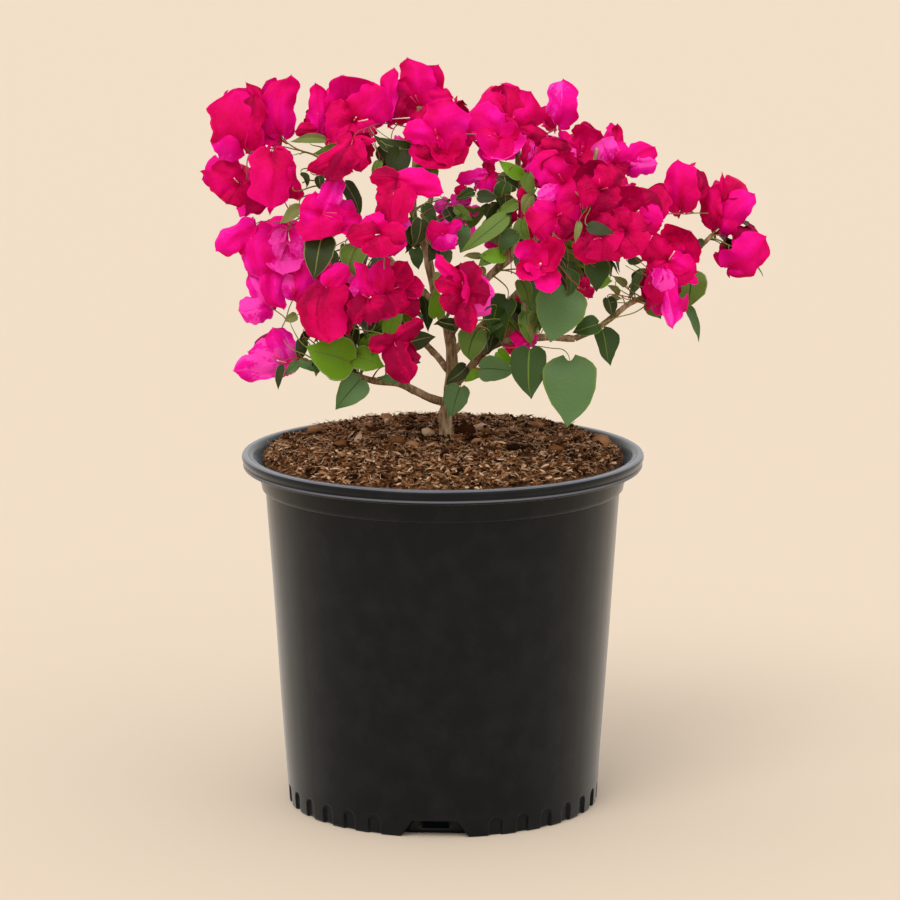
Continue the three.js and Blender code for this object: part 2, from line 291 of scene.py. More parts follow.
class Stock:
    """Shapes of one kind, gathered as they are made and joined into one mesh object."""

    def __init__(self, name: str, finishes: Sequence[Material]) -> None:
        """Starts an empty stock of shapes with its finishes in order.

        Args:
            name: Name of the piece that the stock becomes.
            finishes: Its finishes, in the order of their numbers.
        """
        self.name = name
        self.finishes = list(finishes)
        self.points: list[np.ndarray] = []
        self.charts: list[np.ndarray] = []
        self.corners: list[np.ndarray] = []
        self.sizes: list[np.ndarray] = []
        self.dealt: list[np.ndarray] = []
        self.count = 0

    def add(
        self, points: np.ndarray, faces: Iterable[np.ndarray], finish: int | np.ndarray = 0,
        chart: np.ndarray | None = None,
    ) -> None:
        """Adds one shape.

        Args:
            points: Its points in millimetres, one a row.
            faces: Arrays of corner numbers, each with faces of one size.
            finish: Number of its finish, or the number for each face of every block.
            chart: A pair of flat coordinates for every point.
        """
        for block in faces:
            self.corners.append((block + self.count).ravel())
            self.sizes.append(np.full(len(block), block.shape[1]))
            self.dealt.append(np.broadcast_to(finish, len(block)))
        self.points.append(points)
        self.charts.append(np.zeros((len(points), 2)) if chart is None else chart)
        self.count += len(points)

    def join(self) -> Object:
        """Makes the mesh object, smooth shaded and riding on the plant's body.

        Returns:
            The mesh object.
        """
        points = np.vstack(self.points) * MM
        corners = np.concatenate(self.corners).astype(np.int32)
        sizes = np.concatenate(self.sizes)
        mesh = bpy.data.meshes.new(self.name)
        mesh.vertices.add(len(points))
        mesh.vertices.foreach_set("co", points.astype(np.float32).ravel())
        mesh.loops.add(len(corners))
        mesh.loops.foreach_set("vertex_index", corners)
        mesh.polygons.add(len(sizes))
        starts = np.concatenate([[0], np.cumsum(sizes)[:-1]]).astype(np.int32)
        mesh.polygons.foreach_set("loop_start", starts)
        mesh.polygons.foreach_set("material_index", np.concatenate(self.dealt).astype(np.int32))
        mesh.polygons.foreach_set("use_smooth", np.ones(len(sizes), bool))
        chart = mesh.uv_layers.new(name="chart")
        flat = np.vstack(self.charts)[corners].astype(np.float32)
        chart.data.foreach_set("uv", flat.ravel())
        for finish in self.finishes:
            mesh.materials.append(finish)
        mesh.update(calc_edges=True)
        mesh.validate()
        shape = placed(self.name, mesh)
        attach(shape, BODY)
        LOG.info("%s: %d points, %d faces", self.name, len(points), len(sizes))
        return shape


def stem(path: np.ndarray, radii: Vec, sides: int) -> tuple[np.ndarray, list[np.ndarray]]:
    """A round stem along a path, closed at both ends.

    Args:
        path: Points of its middle line.
        radii: Its radius at each point.
        sides: Points round it.

    Returns:
        Points and blocks of faces.
    """
    along = each_unit(np.gradient(path, axis=0))
    side = np.cross(along[0], UP if abs(along[0][2]) < 0.9 else FRONT)
    turn = np.arange(sides) * math.tau / sides
    rings = []
    for point, ahead, radius in zip(path, along, radii, strict=True):
        side = unit(side - ahead * float(side @ ahead))
        other = np.cross(ahead, side)
        ring = np.cos(turn)[:, None] * side + np.sin(turn)[:, None] * other
        rings.append(point + ring * radius)
    points = np.vstack([*rings, path[:1], path[-1:]])
    last = (len(path) - 1) * sides
    foot = flipped(fan(0, sides, len(points) - 2))
    return points, [grid_faces(len(path), sides, True), foot, fan(last, sides, len(points) - 1)]


# --- Finishes ---


def linear(red: int, green: int, blue: int) -> Colour:
    """A screen colour, each part from 0 to 255, as the light that it stands for.

    Args:
        red: Its red part.
        green: Its green part.
        blue: Its blue part.

    Returns:
        The colour, with a fourth part of one.
    """

    def light(part: int) -> float:
        """One part of the colour."""
        share = part / 255
        return share / 12.92 if share < 0.04045 else ((share + 0.055) / 1.055) ** 2.4

    return (light(red), light(green), light(blue), 1.0)


class Surface:
    """A material being made: its principled shader and the nodes that feed it."""

    def __init__(self, name: str, colour: Colour, roughness: float) -> None:
        """Starts a material with a plain colour and roughness.

        Args:
            name: Name of the material.
            colour: Its plain colour.
            roughness: Its roughness.
        """
        self.material = bpy.data.materials.new(name)
        self.material.use_nodes = True
        self.tree = self.material.node_tree
        self.shader = self.tree.nodes["Principled BSDF"]
        self.set("Base Color", colour)
        self.set("Roughness", roughness)
        self.material.diffuse_color = colour

    def set(self, socket: str, value: float | Colour) -> None:
        """Sets one of the shader's own sockets."""
        self.shader.inputs[socket].default_value = value

    def feed(self, socket: Socket, value: object) -> None:
        """Links an input to another node's output, or sets it to a plain value.

        Args:
            socket: The input.
            value: The other node's output, or the plain value.
        """
        if isinstance(value, Socket):
            self.tree.links.new(value, socket)
        else:
            socket.default_value = value

    def wire(self, socket: str, value: Socket) -> None:
        """Feeds one of the shader's sockets from a node."""
        self.feed(self.shader.inputs[socket], value)

    def node(self, kind: str, **inputs: object) -> bpy.types.Node:
        """Adds a node and feeds its inputs.

        Args:
            kind: Its type.
            inputs: A plain value or a socket for each input, by name.

        Returns:
            The node.
        """
        made = self.tree.nodes.new(kind)
        for name, value in inputs.items():
            self.feed(made.inputs[name.replace("_", " ")], value)
        return made

    def math(self, operation: str, one: object, other: object) -> Socket:
        """The result of a sum on two values.

        Args:
            operation: Name of the sum.
            one: A plain value or a socket.
            other: The same.

        Returns:
            The socket of the result.
        """
        made = self.tree.nodes.new("ShaderNodeMath")
        made.operation = operation
        self.feed(made.inputs[0], one)
        self.feed(made.inputs[1], other)
        return made.outputs[0]

    def place(self, kind: str = "Object", stretch: Place = (1, 1, 1)) -> Socket:
        """The place on the piece, stretched by axis."""
        coordinates = self.tree.nodes.new("ShaderNodeTexCoord").outputs[kind]
        return self.node("ShaderNodeMapping", Vector=coordinates, Scale=stretch).outputs["Vector"]

    def noise(self, where: Socket, scale: float, detail: float = 4.0) -> Socket:
        """A cloudy unevenness from 0 to 1."""
        return self.node("ShaderNodeTexNoise", Vector=where, Scale=scale, Detail=detail).outputs["Fac"]

    def ramp(self, value: Socket, stops: Sequence[tuple[float, Colour]]) -> Socket:
        """Colours dealt out by value.

        Args:
            value: The value.
            stops: Pairs of a value and its colour, in order.

        Returns:
            The socket of the colour.
        """
        made = self.node("ShaderNodeValToRGB", Fac=value)
        band = made.color_ramp
        while len(band.elements) < len(stops):
            band.elements.new(0.5)
        for element, (at, colour) in zip(band.elements, stops, strict=True):
            element.position = at
            element.color = colour
        return made.outputs["Color"]

    def spread(self, value: Socket, low: float, high: float, start: float = 0.0, end: float = 1.0) -> Socket:
        """A value that goes from `low` to `high` while the given one goes from `start` to `end`."""
        span = {"From Min": start, "From Max": end, "To Min": low, "To Max": high}
        return self.node("ShaderNodeMapRange", Value=value, **span).outputs["Result"]

    def relief(
        self, height: Socket, depth: float, strength: float = 1.0, over: Socket | None = None,
    ) -> Socket:
        """Fine relief, laid over another relief if one is given.

        Args:
            height: The relief's height, from 0 to 1.
            depth: Its depth in metres.
            strength: Its strength.
            over: The relief below it.

        Returns:
            The socket of the relief.
        """
        inputs = {"Height": height, "Strength": strength, "Distance": depth}
        if over is not None:
            inputs["Normal"] = over
        return self.node("ShaderNodeBump", **inputs).outputs["Normal"]


@dataclass(frozen=True)
class PotPlastic:
    """Satin black moulded plastic with a fine grain, flow marks, dust, and highlight lines painted in pale
    grey along the rim.

    Attributes:
        deep: Colour of the clean plastic.
        dusty: Colour under dust.
        highlight_grey: Colour of the highlight lines painted along the rim.
        gloss_low: Lowest roughness.
        gloss_high: Highest roughness.
        lip_span: Heights in metres over which the painted highlight lines run on the rim.
        painted_highlight_from: Radii in metres between which the painted highlight lines set in.
    """

    deep: Colour = linear(4, 9, 14)
    dusty: Colour = linear(17, 20, 23)
    highlight_grey: Colour = linear(126, 128, 138)
    gloss_low: float = 0.15
    gloss_high: float = 0.27
    lip_span: tuple[float, float] = (0.2365, 0.2485)
    painted_highlight_from: tuple[float, float] = (0.1342, 0.136)

    def make(self) -> Material:
        """Builds the material.

        Returns:
            The material.
        """
        surface = Surface("pot_plastic", self.deep, self.gloss_low)
        surface.set("Specular IOR Level", 0.19)
        surface.set("Sheen Weight", 0.26)
        surface.set("Sheen Roughness", 0.36)
        surface.set("Sheen Tint", (0.76, 0.89, 1.0, 1.0))
        flow = surface.noise(surface.place(stretch=(1, 1, 0.12)), 34, 5)
        dust = surface.noise(surface.place(), 60, 8)
        height = surface.node("ShaderNodeSeparateXYZ", Vector=surface.place()).outputs["Z"]
        lip = surface.spread(height, 0, 1, *self.lip_span)
        bead = [0.2, 0.27, 0.36, 0.45, 0.8, 0.9, 1.0]
        shine = [0.0, 0.87, 0.87, 0.0, 0.0, 0.88, 0.9]
        greys = [(value, value, value, 1.0) for value in shine]
        # Painted highlight: pale grey lines along the rim's rounded lip, banded by height.
        painted_highlight_lines = surface.ramp(lip, list(zip(bead, greys, strict=True)))
        radius = surface.node("ShaderNodeVectorMath", Vector=surface.place(stretch=(1, 1, 0)))
        radius.operation = "LENGTH"
        outer = surface.spread(radius.outputs["Value"], 0, 1, *self.painted_highlight_from)
        # Dust, and the painted highlight lines on the outer lip, whichever is stronger.
        dust_and_highlight = surface.math("MAXIMUM", surface.math("MULTIPLY", painted_highlight_lines, outer), dust)
        stops = [(0.42, self.deep), (0.74, self.dusty), (1.0, self.highlight_grey)]
        surface.wire("Base Color", surface.ramp(dust_and_highlight, stops))
        surface.wire("Roughness", surface.spread(flow, self.gloss_low, self.gloss_high))
        grain = surface.relief(surface.noise(surface.place(), 1400, 2), 0.00006, 0.5)
        surface.wire("Normal", surface.relief(flow, 0.0006, 0.35, grain))
        return surface.material


@dataclass(frozen=True)
class BedPeat:
    """Dark fibrous peat between the chips of the bark mix."""

    shades: tuple[Colour, ...] = (
        linear(26, 12, 3), linear(66, 38, 16), linear(108, 72, 42), linear(150, 112, 78),
    )

    def make(self) -> Material:
        """Builds the material.

        Returns:
            The material.
        """
        surface = Surface("bark_mix_bed", self.shades[1], 0.95)
        surface.set("Specular IOR Level", 0.15)
        crumbs = surface.noise(surface.place(), 330, 9)
        stops = list(zip((0.3, 0.46, 0.6, 0.76), self.shades, strict=True))
        surface.wire("Base Color", surface.ramp(crumbs, stops))
        fibre = surface.noise(surface.place(stretch=(1, 3, 1)), 700, 5)
        rough = surface.relief(crumbs, 0.003, 0.9)
        surface.wire("Normal", surface.relief(fibre, 0.001, 0.7, rough))
        return surface.material


@dataclass(frozen=True)
class BarkSkin:
    """Grey-brown bark with lengthwise furrows and pale breathing pores."""

    shades: tuple[Colour, ...] = (
        linear(78, 61, 41), linear(132, 107, 77), linear(170, 144, 110), linear(204, 184, 152),
    )

    def make(self) -> Material:
        """Builds the material.

        Returns:
            The material.
        """
        surface = Surface("limb_bark", self.shades[1], 0.82)
        surface.set("Specular IOR Level", 0.25)
        furrow = surface.noise(surface.place(stretch=(1, 1, 0.22)), 520, 6)
        blotch = surface.noise(surface.place(), 70, 4)
        middle = surface.math("MULTIPLY", surface.math("ADD", furrow, blotch), 0.5)
        stops = list(zip((0.36, 0.47, 0.56, 0.68), self.shades, strict=True))
        surface.wire("Base Color", surface.ramp(middle, stops))
        surface.wire("Normal", surface.relief(furrow, 0.0012, 0.8))
        return surface.material


@dataclass(frozen=True)
class Tissue:
    """Tissue in one plain tint, with fine veins and pores as relief.

    Attributes:
        name: Name of the material.
        colour: Its plain colour.
        roughness: Its roughness.
        sheen: Downy sheen on the skin.
        gloss: Strength of the skin's reflection.
        pucker: Depth of the fine relief in metres.
        painted_glow: Painted glow given off in the tissue's own colour, as a share of it, standing in for
            light that the thin tissue lets through.
    """

    name: str
    colour: Colour
    roughness: float = 0.6
    sheen: float = 0.0
    gloss: float = 0.3
    pucker: float = 0.0004
    painted_glow: float = 0.0

    def make(self) -> Material:
        """Builds the material.

        Returns:
            The material.
        """
        surface = Surface(self.name, self.colour, self.roughness)
        surface.set("Specular IOR Level", self.gloss)
        surface.set("Sheen Weight", self.sheen)
        surface.set("Sheen Roughness", 0.4)
        surface.set("Sheen Tint", self.colour)
        # Painted glow: light given off in the tissue's own colour, standing in for light let through.
        if self.painted_glow:
            surface.set("Emission Color", self.colour)
            surface.set("Emission Strength", self.painted_glow)
        pores = surface.noise(surface.place(), 900, 3)
        net = surface.node("ShaderNodeTexVoronoi", Vector=surface.place("UV", (9, 16, 1)), Scale=1.0)
        net.feature = "DISTANCE_TO_EDGE"
        veins = surface.relief(net.outputs["Distance"], self.pucker, 0.5)
        surface.wire("Normal", surface.relief(pores, self.pucker / 2, 0.5, veins))
        spread = surface.spread(pores, self.roughness - 0.08, min(1.0, self.roughness + 0.08))
        surface.wire("Roughness", spread)
        return surface.material


def petal(name: str, red: int, green: int, blue: int) -> Tissue:
    """The papery tissue of a bract, with a faint painted glow."""
    return Tissue(f"bract_{name}", linear(red, green, blue), 0.62, sheen=0.1, gloss=0.05, painted_glow=0.06)


def leaf(name: str, red: int, green: int, blue: int) -> Tissue:
    """The waxy tissue of a leaf."""
    return Tissue(f"leaf_{name}", linear(red, green, blue), 0.44, sheen=0.05, gloss=0.2, pucker=0.0006)


def bark_flake(name: str, red: int, green: int, blue: int) -> Tissue:
    """The dry tissue of a chip or fibre of bark."""
    return Tissue(f"chip_{name}", linear(red, green, blue), 0.9, gloss=0.07, pucker=0.001)


class Petal(Enum):
    """Tints of the bracts, from the deepest to the palest."""

    WINE = petal("wine", 140, 0, 52)
    GARNET = petal("garnet", 160, 0, 60)
    CRIMSON = petal("crimson", 179, 0, 67)
    CHERRY = petal("cherry", 190, 0, 73)
    RED = petal("red", 199, 1, 80)
    RUBY = petal("ruby", 206, 1, 90)
    MAGENTA = petal("magenta", 212, 1, 100)
    CERISE = petal("cerise", 217, 2, 110)
    ROSE = petal("rose", 221, 3, 120)
    FUCHSIA = petal("fuchsia", 224, 7, 130)
    VIOLET = petal("violet", 226, 12, 142)
    ORCHID = petal("orchid", 232, 30, 156)
    BLUSH = petal("blush", 240, 62, 172)


class Green(Enum):
    """Tints of the leaves."""

    SHADE = leaf("shade", 47, 56, 20)
    PINE = leaf("pine", 50, 73, 27)
    TEAL = leaf("teal", 80, 109, 61)
    GRASS = leaf("grass", 93, 118, 40)
    OLIVE = leaf("olive", 118, 122, 64)
    LIME = leaf("lime", 98, 140, 8)
    PALE = leaf("pale", 132, 148, 92)


class Shoot(Enum):
    """Tints of twigs and stalks, from the oldest wood to the newest growth."""

    TAN = Tissue("twig_tan", linear(134, 110, 78), 0.8)
    OLIVE = Tissue("twig_olive", linear(122, 126, 62), 0.7)
    RUSSET = Tissue("twig_russet", linear(146, 70, 52), 0.7)


class Tube(Enum):
    """Tints of the small true flowers inside the bracts."""

    ROSY = Tissue("flower_rosy", linear(226, 70, 110), 0.6)
    CREAM = Tissue("flower_cream", linear(250, 226, 200), 0.6)


class Chip(Enum):
    """Tints of the chips and fibres on the bed."""

    UMBER = bark_flake("umber", 58, 29, 9)
    BROWN = bark_flake("brown", 120, 77, 43)
    TAN = bark_flake("tan", 158, 114, 78)
    PALE = bark_flake("pale", 206, 172, 138)
    SOOT = bark_flake("soot", 28, 13, 4)


RAMP = tuple(Petal)
WINE, GARNET, CRIMSON, CHERRY, RED, RUBY, MAGENTA, CERISE, ROSE, FUCHSIA, VIOLET, ORCHID, BLUSH = RAMP
SHADE, PINE, TEAL, GRASS, OLIVE, LIME, PALE = Green


def materials(tints: type[Enum]) -> list[Material]:
    """A material for every tint of one kind, in order."""
    return [tint.value.make() for tint in tints]


def number_of(tint: Enum) -> int:
    """The place of a tint among its kind."""
    return list(type(tint)).index(tint)


# --- The pot ---


@dataclass
class Pot:
    """The nursery pot: a tapered wall, a stepped collar, a rolled rim, and a fluted, notched foot.

    Attributes:
        base: Radius at the foot.
        shoulder: Radius under the collar.
        collar: Radius of the collar's foot and head.
        rim: Radius of the rolled rim.
        mouth: Radius of the opening.
        height: Height of the rim's top.
        collar_foot: Height of the collar's foot.
        collar_head: Height of the rim's underside.
        wall: Thickness of the wall.
        notch_turn: Compass turn of the first drain notch.
        notch_half: Half width of a notch at the foot and at its head.
        notch_height: Height of a notch.
        notch_back: Distance of a notch's back from the middle.
        slot_half: Half width of the slot in a notch's back.
        slot_span: Lowest and highest edge of the slot.
        flutes: Flutes between two notches.
        flute_first: Degrees from a notch to the first flute.
        flute_half: Half width of a flute.
        flute_height: Height of a flute's arched head.
        flute_depth: Depth of a flute.
        warp: How far the wall is out of round.
        hub: Radius of the smallest ring of points, round the middle.
        floor: Height of the floor inside.
        finish: The plastic.
    """

    base: float = 108.5
    shoulder: float = 123.5
    collar: tuple[float, float] = (126.0, 129.5)
    rim: float = 140.0
    mouth: float = 131.6
    height: float = 248.0
    collar_foot: float = 223.5
    collar_head: float = 238.0
    wall: float = 2.4
    notch_turn: float = -93.0
    notch_half: tuple[float, float] = (24.0, 15.5)
    notch_height: float = 12.0
    notch_back: float = 95.5
    slot_half: float = 10.0
    slot_span: tuple[float, float] = (4.0, 9.0)
    flutes: int = 8
    flute_first: float = 22.5
    flute_half: float = 4.5
    flute_height: float = 13.5
    flute_depth: float = 2.0
    warp: float = 0.16
    hub: float = 4.0
    floor: float = 3.0
    finish: PotPlastic = field(default_factory=PotPlastic)

    @property
    def sector(self) -> float:
        """Distance round the foot from one notch to the next."""
        return math.tau * self.base / 3

    @property
    def pitch(self) -> float:
        """Degrees from one flute to the next."""
        return (120 - 2 * self.flute_first) / (self.flutes - 1)

    def wall_radius(self, height: float) -> float:
        """Radius of the outer wall at a height below the collar."""
        return self.base + (self.shoulder - self.base) * height / self.collar_foot

    def outside(self) -> list[tuple[float, float]]:
        """Radius and height up the outside, from the edge of the foot to the mouth.

        Returns:
            Pairs of a radius and a height.
        """
        low = [0.8, 2.0, 3.9, 4.1, 6.5, 8.9, 9.1, 10.4, 11.3, 11.9, 12.1, 12.7, 13.2, 13.6, 14.1]
        plain = [15.5, 19.0, 26.0, 45.0, 80.0, 120.0, 160.0, 195.0, 215.0, self.collar_foot - 0.5]
        wall = [(self.wall_radius(z), z) for z in [*low, *plain]]
        foot, head = self.collar
        step = self.collar_foot
        collar = [
            (self.shoulder, step - 0.1), (foot - 0.7, step + 0.1), (foot, step + 0.7),
            (foot + 0.35, step + 3), (head - 0.1, self.collar_head - 1.6),
            (head + 0.1, self.collar_head - 0.7), (head + 0.8, self.collar_head - 0.1),
        ]
        rim, top = self.rim, self.height
        lip = [
            (rim - 3.0, top - 9.9), (rim - 1.7, top - 9.5), (rim - 1.0, top - 8.6),
            (rim - 0.9, top - 7.7), (rim - 1.5, top - 6.9), (rim - 1.6, top - 6.2),
            (rim - 1.1, top - 5.2), (rim - 0.3, top - 3.8), (rim, top - 2.6),
            (rim - 0.15, top - 1.5), (rim - 0.7, top - 0.6), (rim - 1.7, top - 0.05),
            (rim - 2.6, top), (self.mouth + 3.2, top - 0.05), (self.mouth + 1.6, top - 0.3),
            (self.mouth + 0.5, top - 1.1), (self.mouth, top - 2.4),
        ]
        return [(self.wall_radius(0) - 0.8, 0.0), *wall, *collar, *lip]

    def inside(self) -> list[tuple[float, float]]:
        """Radius and height down the inside, from under the mouth to the floor's edge.

        Returns:
            Pairs of a radius and a height.
        """
        foot, head = self.collar
        inner = self.wall
        return [
            (head - inner, self.collar_head - 1), (foot - inner, self.collar_foot),
            (self.shoulder - inner, self.collar_foot - inner),
            (self.wall_radius(60) - inner, 60), (self.wall_radius(17) - 4, 17),
            (self.wall_radius(8) - 4, 8), (self.wall_radius(3) - 4, 3),
        ]

    def turns(self) -> Vec:
        """Distances round the foot, in millimetres from the first notch, of every column.

        Returns:
            The distances, in order.
        """
        sector, edge = self.sector, self.notch_half[0]
        near_notch = [0, 4, 8, 11.9, 12.5, 17, 21, edge - 0.5, edge, edge + 0.7, edge + 4, 33]
        near_flute = [0.9, 1.8, 2.7, 3.5, 4.1, 4.35, 4.65, 4.9, 5.5, 7.4]
        marks = set(near_notch) | {sector - mark for mark in near_notch[1:]}
        for number in range(self.flutes):
            middle = math.radians(self.flute_first + self.pitch * number) * self.base
            marks.add(middle)
            marks |= {middle + side * mark for mark in near_flute for side in (-1, 1)}
        one = np.array(sorted(marks))
        return np.concatenate([one + sector * number for number in range(3)])

    def narrowing(self, height: float) -> float:
        """How much a notch has narrowed at a height, as a share of its width at the foot.

        Args:
            height: The height.

        Returns:
            The share.
        """
        low, high = self.notch_half
        if height <= self.notch_height:
            return 1 - (1 - high / low) * height / self.notch_height
        back = float(smooth_step(np.array(height), self.notch_height, self.notch_height * 3))
        return high / low + (1 - high / low) * back

    def leaned(self, along: Vec, height: float) -> Vec:
        """Columns drawn towards their notch, so that they follow its slanted sides.

        Args:
            along: Distance of each column from its notch.
            height: Height of the row.

        Returns:
            The new distances.
        """
        share, edge, fade = self.narrowing(height), self.notch_half[0], 36.0
        size = np.abs(along)
        outside = edge * share + (size - edge) * (fade - edge * share) / (fade - edge)
        moved = np.where(size <= edge, size * share, np.where(size < fade, outside, size))
        return np.sign(along) * moved

    def sunk(self, along: Vec, nominal: Vec, height: float, radius: float) -> Vec:
        """Radius of the outside at one height with the flutes and notches sunk in.

        Args:
            along: Distance of each column from its notch, after leaning.
            nominal: The same before leaning.
            height: Height of the row.
            radius: Radius of the plain wall there.

        Returns:
            The radius at each column.
        """
        pitch, first = self.pitch, self.flute_first
        degrees = np.degrees(np.abs(along) / self.base)
        nearest = np.clip(np.round((degrees - first) / pitch), 0, self.flutes)
        offset = np.radians(degrees - first - nearest * pitch) * self.base
        arch = self.flute_height - self.flute_half
        reach = np.hypot(offset, max(0.0, height - arch))
        depth = self.flute_depth * (1 - smooth_step(reach, self.flute_half - 0.35, self.flute_half + 0.3))
        result = radius - depth
        if height < self.notch_height:
            inside = np.abs(nominal) < self.notch_half[0] - 0.2
            back = self.notch_back / np.cos(along / self.base)
            if self.slot_span[0] < height < self.slot_span[1]:
                back = np.where(np.abs(nominal) < self.slot_half * 1.22, back - 5, back)
            result = np.where(inside, back, result)
        return result

    def build(self) -> Object:
        """Builds the pot in one closed mesh and dresses it.

        Returns:
            The pot.
        """
        columns = self.turns()
        nominal = (columns + self.sector / 2) % self.sector - self.sector / 2
        origin = columns - nominal
        count = len(columns)
        rows = [(columns / self.base, radius, 0.0) for radius in (self.hub, 50.0, 86.0)]
        for radius, height in self.outside():
            along = self.leaned(nominal, height) if height < 3 * self.notch_height else nominal
            if height < self.flute_height + 2.5:
                radius = self.sunk(along, nominal, height, radius)
            rows.append(((origin + along) / self.base, radius, height))
        bulge = np.abs(nominal) < self.notch_half[0] + 2
        for radius, height in self.inside():
            low = height < self.notch_height + 2
            inner = np.where(bulge & low, self.notch_back - self.wall, radius)
            rows.append((columns / self.base, inner, height))
        rows.append((columns / self.base, self.hub, self.floor))
        first = math.radians(self.notch_turn)
        points = np.vstack([circle(radius, turn + first, height) for turn, radius, height in rows])
        warp = Ripple(5, 150).at(points) * self.warp * (points[:, 2] > 20)
        points[:, :2] += each_unit(points[:, :2]) * warp[:, None]
        points = np.vstack([points, [[0, 0, 0], [0, 0, self.floor]]])
        under = flipped(fan(0, count, len(points) - 2))
        inner = fan((len(rows) - 1) * count, count, len(points) - 1)
        stock = Stock("pot_shell", [self.finish.make()])
        stock.add(points, [grid_faces(len(rows), count, True), under, inner])
        piece = stock.join()
        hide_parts("pot")
        return piece


# --- The bark mix ---


@dataclass(frozen=True)
class Bark:
    """A listed large piece of bark: its place on the bed, its length, its turn and its tint."""

    across: float
    back: float
    length: float
    turn: float
    tint: Chip


# Shares of the tints among the chips and the fibres: the plain mix, and a darker mix dealt close round the
# trunk as painted shade under the crown and in random dark patches elsewhere.
PLAIN_CHIPS = dict(zip(Chip, (0.16, 0.27, 0.28, 0.19, 0.1), strict=True))
SHADE_AND_PATCH_CHIPS = dict(zip(Chip, (0.4, 0.12, 0.04, 0.02, 0.42), strict=True))
PLAIN_FIBRES = dict(zip(Chip, (0.06, 0.18, 0.38, 0.35, 0.03), strict=True))
SHADE_AND_PATCH_FIBRES = dict(zip(Chip, (0.3, 0.24, 0.18, 0.1, 0.18), strict=True))
BARK_PIECES = (
    Bark(-10, 2, 10, 20, Chip.PALE), Bark(-21, -38, 11, -20, Chip.TAN), Bark(16, 10, 14, 10, Chip.UMBER),
    Bark(27, 30, 12, 0, Chip.PALE), Bark(-17, -18, 13, 5, Chip.UMBER), Bark(-31, -28, 10, 30, Chip.BROWN),
    Bark(50, -46, 15, 0, Chip.SOOT), Bark(92, 12, 13, 15, Chip.TAN), Bark(111, 10, 13, 25, Chip.TAN),
    Bark(-48, 8, 12, -15, Chip.UMBER), Bark(-70, -30, 11, 15, Chip.BROWN), Bark(66, 34, 11, -20, Chip.TAN),
    Bark(8, -60, 9, 30, Chip.TAN), Bark(34, -16, 10, -25, Chip.BROWN), Bark(-90, 20, 12, 10, Chip.TAN),
    Bark(20, 70, 13, 40, Chip.UMBER), Bark(-40, 62, 12, -30, Chip.TAN), Bark(78, -50, 10, 20, Chip.BROWN),
)


